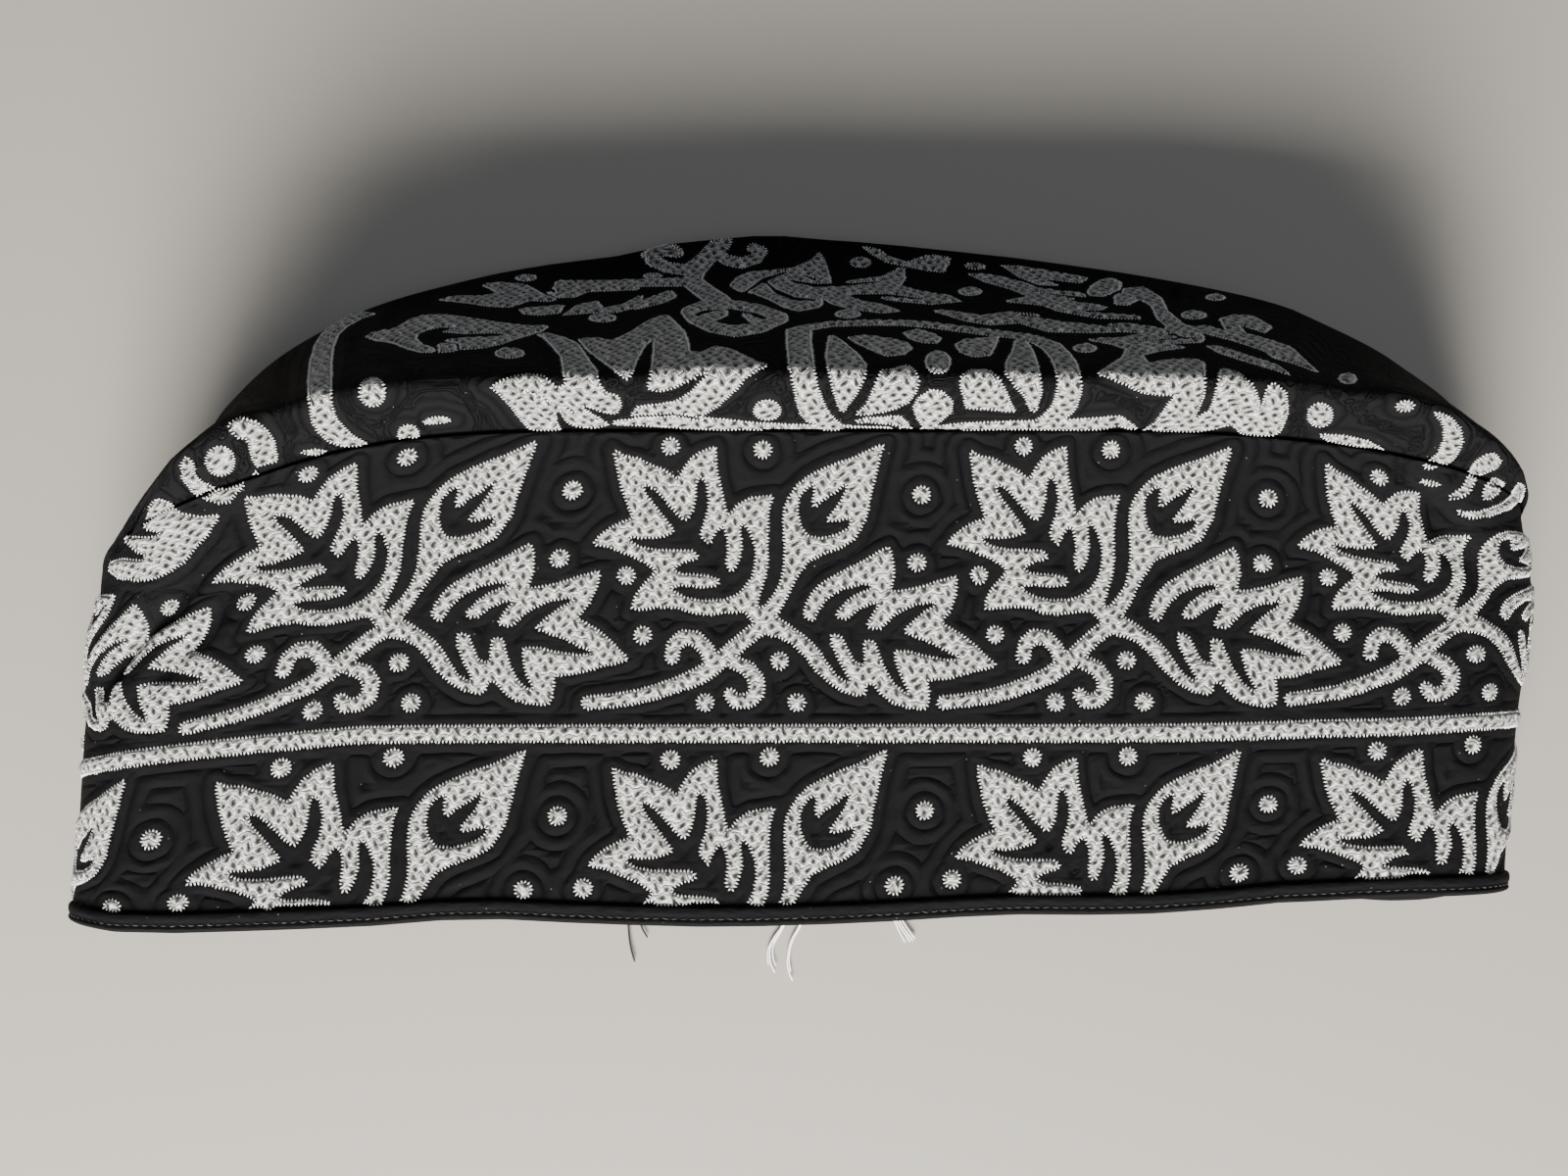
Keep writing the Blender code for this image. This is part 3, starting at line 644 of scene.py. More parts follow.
              ((1060, 300, 1), (1090, 303, 1.5), (1120, 306, 1)),
              ((628, 427, 1), (655, 424, 1.2), (688, 422.5, 1.2), (714, 427, 1.6))),
    # the white border line that is half tucked into the seam
    "border": ((628, 431, 1.5), (660, 429, 5), (700, 430.5, 6), (740, 433, 5.5), (770, 435.5, 4.5),
               (810, 437, 4), (860, 437.5, 3.5), (900, 438.5, 3), (940, 439, 2.5), (980, 436, 4.5),
               (1030, 435, 5.5), (1080, 434, 5.5), (1120, 432, 6), (1142, 429, 5), (1160, 438, 1)),
}


def crownTile():
    # the whole crown as a field on a tile of chart squares
    x0, y0, x1, y1 = crownChart["tile"]
    near = crownChart["near"]
    x, y = np.meshgrid(np.arange(x0, x1 + 1.0), np.arange(y0, y1 + 1.0))
    field = np.full(x.shape, -float(near))

    def addPart(lowX, highX, lowY, highY, made):
        cols = slice(max(int(lowX) - near - x0, 0), min(int(highX) + near - x0, x.shape[1]))
        rows = slice(max(int(lowY) - near - y0, 0), min(int(highY) + near - y0, x.shape[0]))
        field[rows, cols] = np.maximum(field[rows, cols], made(x[rows, cols], y[rows, cols]))

    for outline in crownChart["outlines"]:
        xs, ys = zip(*outline)
        addPart(min(xs), max(xs), min(ys), max(ys), lambda px, py: outlineField(outline, px, py))
    for run in crownChart["runs"] + (crownChart["border"],):
        xs, ys, _ = zip(*run)
        addPart(min(xs), max(xs), min(ys), max(ys), lambda px, py: runField(run, px, py))
    for dx, dy, rx, ry in crownChart["dots"]:
        addPart(dx - rx, dx + rx, dy - ry, dy + ry,
                lambda px, py: (1 - np.hypot((px - dx) / rx, (py - dy) / ry)) * min(rx, ry))
    for run in crownChart["darks"]:
        field = np.minimum(field, -runField(run, x, y))
    return field, x0, y0


# Meshes and materials

weldGap = 2e-6  # metres


def linked(name, data):
    # an object of its own in the scene
    made = bpy.data.objects.new(name, data)
    bpy.context.scene.collection.objects.link(made)
    return made


def makeMesh(name, verts, quads, material, attributes):
    mesh = bpy.data.meshes.new(name)
    mesh.from_pydata([tuple(v) for v in verts * mm], [], [tuple(int(i) for i in q) for q in quads])
    mesh.polygons.foreach_set("use_smooth", [True] * len(mesh.polygons))
    for label, values in attributes.items():
        kind, slot = ("FLOAT_VECTOR", "vector") if values.ndim == 2 else ("FLOAT", "value")
        layer = mesh.attributes.new(label, kind, "POINT")
        layer.data.foreach_set(slot, values.astype(np.float32).ravel())
    mesh.materials.append(material)
    mesh.update()
    return linked(name, mesh)


def faceOut(made):
    work = bmesh.new()
    work.from_mesh(made.data)
    bmesh.ops.remove_doubles(work, verts=work.verts, dist=weldGap)
    bmesh.ops.recalc_face_normals(work, faces=work.faces)
    work.to_mesh(made.data)
    work.free()
    return made


def netQuads(rows, cols):
    # the cells of a net that is closed round the cap
    i, j = np.meshgrid(np.arange(rows - 1), np.arange(cols), indexing="ij")
    k = (j + 1) % cols
    return np.stack([i * cols + j, i * cols + k, (i + 1) * cols + k, (i + 1) * cols + j], -1).reshape(-1, 4)


def shellMesh(name, rows, values, material, joined):
    # a closed shell from rows of points; its last row is joined to its first where told
    count, columns = rows.shape[:2]
    quads = netQuads(count, columns)
    if joined:
        first = np.arange(columns)
        following = (first + 1) % columns
        top = (count - 1) * columns
        quads = np.concatenate([quads, np.stack([top + first, top + following, following, first], -1)])
    made = makeMesh(name, rows.reshape(-1, 3), quads, material, {"place": values.reshape(-1, 3)})
    return faceOut(made)


class NodeKit:
    # short ways to put shader nodes together
    def __init__(self, name):
        self.material = bpy.data.materials.new(name)
        self.material.use_nodes = True
        self.tree = self.material.node_tree
        self.shader = self.tree.nodes["Principled BSDF"]

    def add(self, kind, **settings):
        node = self.tree.nodes.new(kind)
        for label, value in settings.items():
            setattr(node, label, value)
        return node

    def link(self, source, target):
        self.tree.links.new(source, target)

    def feed(self, socket, value):
        if hasattr(value, "is_linked"):
            self.link(value, socket)
        else:
            socket.default_value = value

    def math(self, operation, *values):
        node = self.add("ShaderNodeMath", operation=operation)
        for socket, value in zip(node.inputs, values):
            self.feed(socket, value)
        return node.outputs[0]

    def plus(self, first, second):
        return self.math("ADD", first, second)

    def minus(self, first, second):
        return self.math("SUBTRACT", first, second)

    def times(self, first, second):
        return self.math("MULTIPLY", first, second)

    def ramp(self, value, low, high, toLow=0.0, toHigh=1.0):
        node = self.add("ShaderNodeMapRange", interpolation_type="SMOOTHSTEP")
        for socket, setting in zip(node.inputs, (value, low, high, toLow, toHigh)):
            self.feed(socket, setting)
        return node.outputs[0]

    def mix(self, share, first, second):
        node = self.add("ShaderNodeMix", data_type="RGBA")
        self.feed(node.inputs[0], share)
        self.feed(node.inputs[6], first)
        self.feed(node.inputs[7], second)
        return node.outputs[2]

    def noise(self, vector, scale, detail=2.0):
        node = self.add("ShaderNodeTexNoise")
        self.link(vector, node.inputs["Vector"])
        node.inputs["Scale"].default_value = scale
        node.inputs["Detail"].default_value = detail
        return node.outputs["Fac"]

    def place(self):
        # where a spot is on the cloth: round it, up it, and inside the nearest edge of thread
        vector = self.add("ShaderNodeAttribute", attribute_name="place").outputs["Vector"]
        split = self.add("ShaderNodeSeparateXYZ")
        self.link(vector, split.inputs[0])
        return vector, split.outputs

    def bump(self, height, distance, strength, normal=None):
        node = self.add("ShaderNodeBump")
        node.inputs["Distance"].default_value = distance
        node.inputs["Strength"].default_value = strength
        self.link(height, node.inputs["Height"])
        if normal is not None:
            self.link(normal, node.inputs["Normal"])
        return node.outputs[0]

    def set(self, **values):
        names = {"roughness": "Roughness", "sheen": "Sheen Weight", "specular": "Specular IOR Level"}
        for label, value in values.items():
            self.shader.inputs[names[label]].default_value = value


# a pair of numbers is the start and end of a ramp, and two more are what it goes between
threadLook = {
    "holeAcross": 2.1,
    "holeAlong": 3.05,
    "holeRadius": 0.27,
    "holeSoft": (0.5, 2.2),
    "threadsRound": 20.0,
    "wander": 9.0,
    "wanderScale": 2.2,
    "ragged": 0.75,
    "raggedScale": 1.9,
    "meetWide": 0.35,
    "swell": (0.1, 0.8),
    # rim: painted shade at the thread's outer edge
    "rim": (-0.05, 0.5, 0.3, 1.0),
    "patchScale": 1.3,
    "patch": (0.3, 0.7, 0.45, 1.35),
    # painted side light: each scale lighter below its hole and darker above it
    "paintedSideLight": (-0.8, 0.8, 1.25, 0.55),
    "fleckScale": 7.0,
    "fleck": (0.3, 0.66, 0.4, 1.3),
    # strandShare and meetShare set how much painted highlight and shade the strands and the fan valleys get
    "strandShare": 0.65,
    "meetShare": 0.55,
    # nearHole: painted shade around each hole, lighter away from it
    "nearHole": (0.25, 1.0, 0.3, 1.3),
    "swellHeight": 0.5,
    "strandHeight": 0.3,
    "meetHeight": 0.35,
    "bump": 0.0009,
    "dimple": 0.36,
    "light": (0.98, 0.97, 0.94, 1),
    # grey: the colour of the thread's painted shade, and of its darker random flecks and patches
    "grey": (0.10, 0.10, 0.098, 1),
    "hole": (0.015, 0.015, 0.015, 1),
    "roughness": 0.45,
    "specular": 0.6,
}


def loosen(across, along):
    # hand-guided rows of holes wander a little
    u = across + 0.45 * np.sin(0.23 * across + 0.41 * along) + 0.3 * np.sin(0.71 * along + 0.2 * across)
    v = along + 0.4 * np.sin(0.31 * across - 0.17 * along) + 0.25 * np.sin(0.87 * across + 0.5)
    return u + 0.24 * np.sin(1.37 * across + 1.7 * along), v + 0.28 * np.sin(1.61 * across - 1.13 * along)


def holeDistance(u, v):
    # how far the nearest needle hole is, in rows set half a step apart
    pitchU, pitchV = threadLook["holeAcross"], threadLook["holeAlong"]
    best = np.full(u.shape, pitchU + pitchV)
    for share in (0.0, 0.5):
        du = u - share * pitchU
        dv = v - share * pitchV
        du = du - pitchU * np.round(du / pitchU)
        dv = dv - pitchV * np.round(dv / pitchV)
        best = np.minimum(best, np.hypot(du, dv))
    return best


def holeLattice(kit, across, along, look, share):
    # distance and direction to the nearest hole of one of the two sets of rows
    def nearest(value, period):
        moved = kit.minus(value, share * period)
        return kit.minus(moved, kit.times(kit.math("ROUND", kit.math("DIVIDE", moved, period)), period))

    du, dv = nearest(across, look["holeAcross"]), nearest(along, look["holeAlong"])
    return kit.math("SQRT", kit.plus(kit.times(du, du), kit.times(dv, dv))), kit.math("ARCTAN2", dv, du)


def threadMaterial(name, look):
    # thread pulled out of rows of needle holes, like fish scales
    kit = NodeKit(name)
    place, (across, along, inside) = kit.place()
    radiusA, angleA = holeLattice(kit, across, along, look, 0.0)
    radiusB, angleB = holeLattice(kit, across, along, look, 0.5)
    pickB = kit.math("LESS_THAN", radiusB, radiusA)
    radius = kit.math("MINIMUM", radiusA, radiusB)
    angle = kit.plus(kit.times(pickB, angleB), kit.times(kit.minus(1.0, pickB), angleA))
    turns = kit.plus(kit.times(angle, look["threadsRound"]),
                     kit.times(kit.noise(place, look["wanderScale"]), look["wander"]))
    strands = kit.plus(kit.times(kit.math("SINE", turns), 0.5), 0.5)
    waver = kit.times(kit.minus(kit.noise(place, look["raggedScale"]), 0.5), look["ragged"])
    ragged = kit.plus(radius, waver)
    hole = kit.ramp(ragged, *(look["holeRadius"] * share for share in look["holeSoft"]))
    # meet is low in the valleys where two fans of thread meet; the tone paints those valleys darker, a
    # painted shade
    meet = kit.ramp(kit.math("ABSOLUTE", kit.minus(radiusA, radiusB)), 0.0, look["meetWide"])
    # each scale is painted lighter on its side below the hole and darker above it: painted light and shade,
    # as from a lamp low on the hem's side
    paintedSideLight = kit.ramp(kit.times(radius, kit.math("SINE", angle)), *look["paintedSideLight"])
    # patchy random tone, multiplied by that painted side light
    patch = kit.times(kit.ramp(kit.noise(place, look["patchScale"], 3.0), *look["patch"]), paintedSideLight)
    fleck = kit.ramp(kit.noise(place, look["fleckScale"], 4.0), *look["fleck"])
    # the tone is lighter on each strand's crest and darker in the grooves between strands, a painted
    # highlight and painted shade from the same waves that make the bump
    strandTone = kit.plus(1 - look["strandShare"], kit.times(strands, look["strandShare"]))
    tone = kit.times(strandTone, kit.plus(1 - look["meetShare"], kit.times(meet, look["meetShare"])))
    # the tone falls to about a third at the thread's outer rim: painted shade where the raised thread dips
    # to the cloth
    tone = kit.times(kit.times(tone, fleck), kit.times(patch, kit.ramp(inside, *look["rim"])))
    # darker close to each hole and a little lighter away from it: painted shade sinking into the holes
    tone = kit.times(tone, kit.ramp(ragged, *look["nearHole"]))
    # the tone runs from grey, mostly painted shade, to the pale thread colour
    cloth = kit.mix(tone, look["grey"], look["light"])
    kit.link(kit.mix(hole, look["hole"], cloth), kit.shader.inputs["Base Color"])
    fine = kit.plus(kit.times(strands, look["strandHeight"]), kit.times(meet, look["meetHeight"]))
    height = kit.plus(kit.times(kit.ramp(radius, *look["swell"]), look["swellHeight"]), fine)
    kit.link(kit.bump(height, look["bump"], 1.0), kit.shader.inputs["Normal"])
    kit.set(roughness=look["roughness"], sheen=0.0, specular=look["specular"])
    return kit.material


looseLook = {"light": (0.98, 0.97, 0.95, 1), "grey": (0.7, 0.7, 0.7, 1), "roughness": 0.5}
hemThreadLook = {"light": (0.02, 0.02, 0.022, 1), "grey": (0.008, 0.008, 0.009, 1), "roughness": 0.45}
stitchLook = {"light": (0.90, 0.89, 0.86, 1), "grey": (0.22, 0.22, 0.215, 1), "roughness": 0.6}
strandFinish = {"noiseScale": 1400.0, "sheen": 0.15, "specular": 0.3}


def stitchMaterial(name, look):
    kit = NodeKit(name)
    place = kit.add("ShaderNodeTexCoord").outputs["Object"]
    color = kit.mix(kit.noise(place, strandFinish["noiseScale"]), look["grey"], look["light"])
    kit.link(color, kit.shader.inputs["Base Color"])
    kit.set(roughness=look["roughness"], sheen=strandFinish["sheen"], specular=strandFinish["specular"])
    return kit.material


cottonLook = {
    "color": (0.0016, 0.0016, 0.002, 1),
    # lighter colour for the painted sheen along the quilted ridges and for the random fuzz
    "ridgeSheenAndFuzz": (0.0036, 0.0036, 0.0041, 1),
    "lint": (0.22, 0.22, 0.22, 1),
    "lintScale": 0.34,
    "lintSize": 0.032,
    "ridgePitch": 2.5,
    "ridgeHeight": 0.00045,
    "ridgeSharp": 0.85,
    "wander": 0.8,
    "wanderScale": 0.18,
    "puckerScale": 0.42,
    "puckerHeight": 0.0009,
    "weavePitch": 0.42,
    "weaveHeight": 0.00008,
    "fuzzScale": 5.0,
    "sheenAndFuzzRange": (0.35, 1.1),
    "sheenAndFuzzShare": 0.6,
    "roughness": 0.78,
    "specular": 0.06,
}


def cottonMaterial(name, look, ridges):
    # black cotton quilted in rows that follow the embroidery's outlines
    kit = NodeKit(name)
    place, (across, along, inside) = kit.place()
    away = kit.minus(kit.times(kit.noise(place, look["wanderScale"]), look["wander"]), inside)
    phase = kit.times(kit.math("DIVIDE", away, look["ridgePitch"]), math.pi)
    ridge = kit.math("POWER", kit.math("ABSOLUTE", kit.math("SINE", phase)), look["ridgeSharp"])
    pucker = kit.noise(place, look["puckerScale"], 2.0)
    threadCount = 2 * math.pi / look["weavePitch"]
    weave = kit.times(kit.math("SINE", kit.times(across, threadCount)),
                      kit.math("SINE", kit.times(along, threadCount)))
    fuzz = kit.noise(place, look["fuzzScale"], 4.0)
    normal = kit.bump(kit.plus(weave, kit.times(fuzz, 2.0)), look["weaveHeight"], 0.6)
    normal = kit.bump(pucker, look["puckerHeight"], 0.5, normal)
    # the quilted ridges are painted lighter along their tops, a painted sheen; random fuzz lightens the
    # cloth here and there too
    ridgeSheenAndFuzz = kit.plus(kit.times(ridge, look["sheenAndFuzzShare"]), kit.times(fuzz, look["sheenAndFuzzShare"]))
    if ridges:
        normal = kit.bump(ridge, look["ridgeHeight"], 0.9, normal)
    color = kit.mix(kit.ramp(ridgeSheenAndFuzz, *look["sheenAndFuzzRange"]), look["color"], look["ridgeSheenAndFuzz"])
    speck = kit.add("ShaderNodeTexVoronoi")
    kit.link(place, speck.inputs["Vector"])
    speck.inputs["Scale"].default_value = look["lintScale"]
    specks = kit.math("LESS_THAN", speck.outputs["Distance"], look["lintSize"])
    kit.link(kit.mix(specks, color, look["lint"]), kit.shader.inputs["Base Color"])
    kit.link(normal, kit.shader.inputs["Normal"])
    kit.set(roughness=look["roughness"], sheen=0.0, specular=look["specular"])
    return kit.material


# Shapes

netPlan = {
    "columns": 504,
    "rowStep": 1.1,
    "innerStep": 3.0,
    "rim": 0.5,
    "meet": 0.2,
    "tableGap": 0.03,
    "measureSteps": 800,
    "nearTo": 20.0,
    "nearStep": 1.6,
    "farRows": 9,
}
# each cloth's pattern of weave starts at a distance of its own
patternStart = {"bandInside": 300.0, "crown": 100.0, "crownInside": 500.0}
deepest = -12.0  # how far from the thread the quilting is followed
squaresLimits = (1.2, 7.0)  # least and most squares of the chart in a millimetre of cloth
# height, width and reach of the rows that close the crown's far end
crownTip = ((0.95, 0.8, 0.5), (0.85, 0.55, 0.9), (0.6, 0.3, 1.15), (0.0, 0.1, 1.2))
reliefShape = {
    "rowStep": 0.52,
    "columns": 1080,
    "lift": 0.5,
    "edge": 0.6,
    "tuck": 0.12,
    "mostShift": 0.8,
    "leastSlope": 0.04,
    "dimpleWide": 0.55,
    "dimpleLevel": 0.35,
    "dimplesInside": 0.3,
    "lowest": 0.01,
}
bandTop = capShape["wallHeight"]
crownReach = crownRows[-1][0]


def sharesOf(columns):
    return (np.arange(columns) + 0.5) / columns - 0.5


def spreadRows(values, like):
    # one value for each row of a net, at all its points
    return np.repeat(values[:, None], like.shape[1], 1)


def netOf(ring, places, columns, inset=0.0):
    # rows of points round the cap, with each point's run round the section
    points, runs = [], []
    for place in places:
        around = sharesOf(columns) * ring(place, np.zeros(1), 0.0)[2]
        at = ring(place, around, inset)[0]
        at[:, 2] = np.maximum(at[:, 2], reliefShape["lift"] + netPlan["tableGap"])
        points.append(at)
        runs.append(around)
    return np.stack(points), np.stack(runs)


def slopesOf(values):
    # how a value changes from point to point, round a net and from row to row
    closed = np.concatenate([values[:, -1:], values, values[:, :1]], axis=1)
    return np.gradient(closed, axis=1)[:, 1:-1], np.gradient(values, axis=0)


def crownPlaces(step):
    # reaches that are evenly spaced along the cloth over the top of the crown
    reach = np.linspace(0, crownReach, netPlan["measureSteps"])
    height = np.array([readRow(crownRows, r)[1] for r in reach])
    run = np.concatenate([[0.0], np.cumsum(np.hypot(np.diff(reach), np.diff(height)))])
    laid = np.linspace(0, run[-1], int(run[-1] / step) + 1)
    return np.interp(laid, run, reach), laid


def crownField(points, runs, reaches, tile):
    # the crown's chart seen through the camera; the underside repeats the top, turned over
    half = np.array([crownRing(r, np.zeros(1), 0.0)[2] for r in reaches])[:, None] / 4
    folded = np.where(np.abs(runs) > half, np.sign(runs) * (2 * half - np.abs(runs)), runs)
    top = np.empty_like(points)
    for i in range(points.shape[0]):
        order = np.argsort(runs[i])
        for k in range(3):
            top[i, :, k] = np.interp(folded[i], runs[i][order], points[i, order, k])
    field = lookUp(tile, *chartOf(top))
    # squares of the chart turned into millimetres on the cloth
    du, dv = slopesOf(points)
    gu, gv = slopesOf(field)
    gu = gu / np.maximum(np.linalg.norm(du, axis=2), tinyStep)
    gv = gv / np.maximum(np.linalg.norm(dv, axis=2), tinyStep)
    return field / np.clip(np.hypot(gu, gv), *squaresLimits)


def buildBand():
    ups = np.linspace(0, bandTop, int(bandTop / netPlan["rowStep"]) + 1)
    outer, runs = netOf(bandRing, ups, netPlan["columns"])
    innerUps = np.linspace(0, bandTop, int(bandTop / netPlan["innerStep"]) + 1)
    inner, innerRuns = netOf(bandRing, innerUps, netPlan["columns"], capShape["cloth"])
    upper, lower, stripe = bandField(runs, spreadRows(ups, runs))
    nearest = np.maximum(np.maximum(withFold(upper, outer, runs), lower), stripe)
    # the rim rounds over at the seam
    rimRow = netOf(bandRing, [bandTop], netPlan["columns"], capShape["cloth"] * 0.5)[0]
    rimRow[:, :, 1] += netPlan["meet"]
    outer[-1, :, 1] -= netPlan["rim"]
    inner[-1, :, 1] -= netPlan["rim"]
    outValues = np.stack([runs, spreadRows(ups, runs), nearest], -1)
    rimValues = outValues[-1:] + np.array([0, 1.0, 0])
    inValues = np.stack([innerRuns, spreadRows(innerUps + patternStart["bandInside"], runs),
                         spreadRows(-innerUps, runs)], -1)
    # outer rows up, over the rim, inner rows down
    rows = np.concatenate([outer, rimRow, inner[::-1]])
    values = np.concatenate([outValues, rimValues, inValues[::-1]])
    return shellMesh("bandCloth", rows, values, cottonMaterial("bandCotton", cottonLook, True), True)


def buildCrown(tile):
    reaches, laid = crownPlaces(netPlan["rowStep"])
    outer, runs = netOf(crownRing, reaches, netPlan["columns"])
    field = crownField(outer, runs, reaches, tile)
    along = spreadRows(laid + patternStart["crown"], runs)
    outValues = np.stack([runs, along, np.maximum(field, deepest)], -1)
    first = netOf(crownRing, [0.0], netPlan["columns"], capShape["cloth"] * 0.5)[0]
    first[:, :, 1] -= netPlan["meet"]
    outer[0, :, 1] += netPlan["rim"]
    # the far end closes over a rounded tip
    middle = outer[-1].mean(axis=0)
    caps = []
    for share, wide, forward in crownTip:
        row = outer[-1].copy()
        row[:, 0] = middle[0] + (row[:, 0] - middle[0]) * wide
        row[:, 2] = middle[2] + (row[:, 2] - middle[2]) * share
        row[:, 1] += forward
        caps.append(row)
    outer = np.concatenate([first, outer, np.stack(caps)])
    tipValues = [outValues[-1:]] * len(caps)
    outValues = np.concatenate([outValues[:1] - np.array([0, 1.0, 0]), outValues] + tipValues)
    farReaches = np.linspace(netPlan["nearTo"], crownReach - capShape["cloth"], netPlan["farRows"])
    inReaches = np.concatenate([np.arange(0, netPlan["nearTo"], netPlan["nearStep"]), farReaches])
    inner, inRuns = netOf(crownRing, inReaches, netPlan["columns"], capShape["cloth"])
    inner[0, :, 1] += netPlan["rim"]
    closing = inner[-1:].copy()
    closing[0, :, 2] = closing[0, :, 2].mean()
    inner = np.concatenate([inner, closing])
    inPlaces = np.concatenate([inReaches, inReaches[-1:]])
    inRuns = np.concatenate([inRuns, inRuns[-1:]])
    inValues = np.stack([inRuns, spreadRows(inPlaces + patternStart["crownInside"], runs),
                         spreadRows(-inPlaces, runs)], -1)
    # the shell runs from the inner tip down to the rim and back up the outside
    rows = np.concatenate([inner[::-1], outer])
    values = np.concatenate([inValues[::-1], outValues])
    return shellMesh("crownCloth", rows, values, cottonMaterial("crownCotton", cottonLook, True), False)


crownTileMade = crownTile()
bandCloth, crownCloth = buildBand(), buildCrown(crownTileMade)
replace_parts(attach(bandCloth, "root"), "side_band")
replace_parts(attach(crownCloth, "root"), "crown_panel")
print("cloths made", len(bandCloth.data.polygons), len(crownCloth.data.polygons))

# the topstitch line: points on it, how far up, and how far in from the band's face
hemShape = {"columns": 504, "rowRun": 0.8, "linePoints": 1152, "stitchUp": 1.3, "stitchIn": -0.5}


def hemProfile():
    # a flat turned hem, as up and inset: thin at its top edge, nipped where it is stitched, rounded below
    wall = capShape["cloth"] + bindingShape["gap"]
    inner = wall + bindingShape["cloth"]
    return [(3.35, -0.15), (3.4, -0.42), (3.2, -0.66), (2.8, -0.8), (2.3, -0.82), (1.85, -0.74),
            (1.55, -0.52), (1.3, -0.45), (1.05, -0.52), (0.8, -0.7), (0.55, -0.66), (0.25, -0.45),
            (0.05, 0.1), (0.0, 0.8), (0.0, 1.6), (0.1, 2.3), (0.35, 2.9), (0.7, inner), (2.4, inner),
            (4.1, inner), (4.35, inner - 0.3), (4.35, wall), (0.9, wall), (0.7, wall - 0.2), (0.7, 0.0),
            (0.9, -0.1)]


def buildHem():
    rows, values = [], []
    run = 0.0
    for up, inset in hemProfile():
        around = sharesOf(hemShape["columns"]) * bandRing(up, np.zeros(1), 0.0)[2]
        rows.append(bandRing(up, around, inset)[0])
        run += hemShape["rowRun"]
        values.append(np.stack([around, np.full_like(around, run), np.full_like(around, run)], -1))
    material = cottonMaterial("hemCotton", cottonLook, False)
    return shellMesh("hemCloth", np.stack(rows), np.stack(values), material, True)


hemCloth = buildHem()
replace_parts(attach(hemCloth, "root"), "hem_binding")
print("hem made")


def reliefMesh(name, points, field, place, material):
    # the raised thread: only the cells inside the outline, their rim moved on to it
    du, dv = slopesOf(points)
    gu, gv = slopesOf(field)
    lu = np.maximum(np.linalg.norm(du, axis=2, keepdims=True), tinyStep)
    lv = np.maximum(np.linalg.norm(dv, axis=2, keepdims=True), tinyStep)
    gu, gv = gu / lu[..., 0], gv / lv[..., 0]
    normal = np.cross(du, dv)
    normal /= np.maximum(np.linalg.norm(normal, axis=2, keepdims=True), tinySize)
    rows, cols = field.shape
    quads = netQuads(rows, cols)
    flat = field.ravel()
    quads = quads[flat[quads].mean(axis=1) > 0]
    # a point inside the relief has four cells round it
    used = np.bincount(quads.ravel(), minlength=rows * cols)
    rim = (used > 0) & (used < 4)
    slope = np.maximum(gu**2 + gv**2, reliefShape["leastSlope"]).ravel()
    step = -np.clip(flat, -1.0, 1.0) / slope
    limit = reliefShape["mostShift"] * float(np.median(lv))
    length = np.abs(step) * np.sqrt(slope)
    step = np.where(rim, step * np.minimum(1.0, limit / np.maximum(length, tinySize)), 0.0)
    shift = (gu.ravel() * step)[:, None] * (du / lu).reshape(-1, 3)
    shift = shift + (gv.ravel() * step)[:, None] * (dv / lv).reshape(-1, 3)
    rise = np.sqrt(np.clip(flat / reliefShape["edge"], 0, 1)) * reliefShape["lift"]
    u, v = loosen(place[..., 0].ravel(), place[..., 1].ravel())
    dimple = np.exp(-(holeDistance(u, v) / reliefShape["dimpleWide"]) ** 2) - reliefShape["dimpleLevel"]
    pressed = threadLook["dimple"] * dimple * (flat > reliefShape["dimplesInside"])
    rise = np.where(rim, -reliefShape["tuck"], rise - pressed)
    verts = points.reshape(-1, 3) + shift + rise[:, None] * normal.reshape(-1, 3)
    verts[:, 2] = np.maximum(verts[:, 2], reliefShape["lowest"])
    index = np.full(rows * cols, -1)
    kept = np.nonzero(used > 0)[0]
    index[kept] = np.arange(len(kept))
    values = np.stack([u, v, np.where(rim, 0.0, flat)], -1)[kept]
    return makeMesh(name, verts[kept], index[quads], material,
                    {"place": values, "away": normal.reshape(-1, 3)[kept]})


def buildBandReliefs(material):
    ups = np.arange(bandPlan["foot"], bandPlan["top"], reliefShape["rowStep"])
    points, runs = netOf(bandRing, ups, reliefShape["columns"])
    upAll = spreadRows(ups, runs)
    upper, lower, stripe = bandField(runs, upAll)
    upper = withFold(upper, points, runs)
    seam = bandPlan["backSeam"] - np.abs(runs)
    made = []
    for name, field in (("upperSprigs", upper), ("lowerSprigs", np.maximum(lower, stripe))):
        field = np.minimum(field, seam)
        made.append(reliefMesh(name, points, field, np.stack([runs, upAll, field], -1), material))
    return made


def buildCrownRelief(material, tile):
    reaches, laid = crownPlaces(reliefShape["rowStep"])
    points, runs = netOf(crownRing, reaches, reliefShape["columns"])
    field = crownField(points, runs, reaches, tile)
    place = np.stack([runs, spreadRows(laid, runs), field], -1)
    return reliefMesh("crownSprigs", points, field, place, material)


# Stitches, in millimetres; neighbors is how many faces meet at the edges that get them
stitchShape = {"pitch": 0.66, "length": 0.86, "width": 0.36, "height": 0.42, "lift": 0.2,
               "neighbors": 1, "seed": 4}
hemStitchShape = {"pitch": 1.65, "length": 0.26, "width": 1.15, "height": 0.3, "lift": 0.06,
                  "neighbors": 0, "seed": 9}
grainShape = {"sway": 0.3, "shortest": 0.6, "longest": 1.3, "segments": 4, "rings": 2}
stitchInputs = ("Pitch", "Length", "Width", "Height", "Lift")


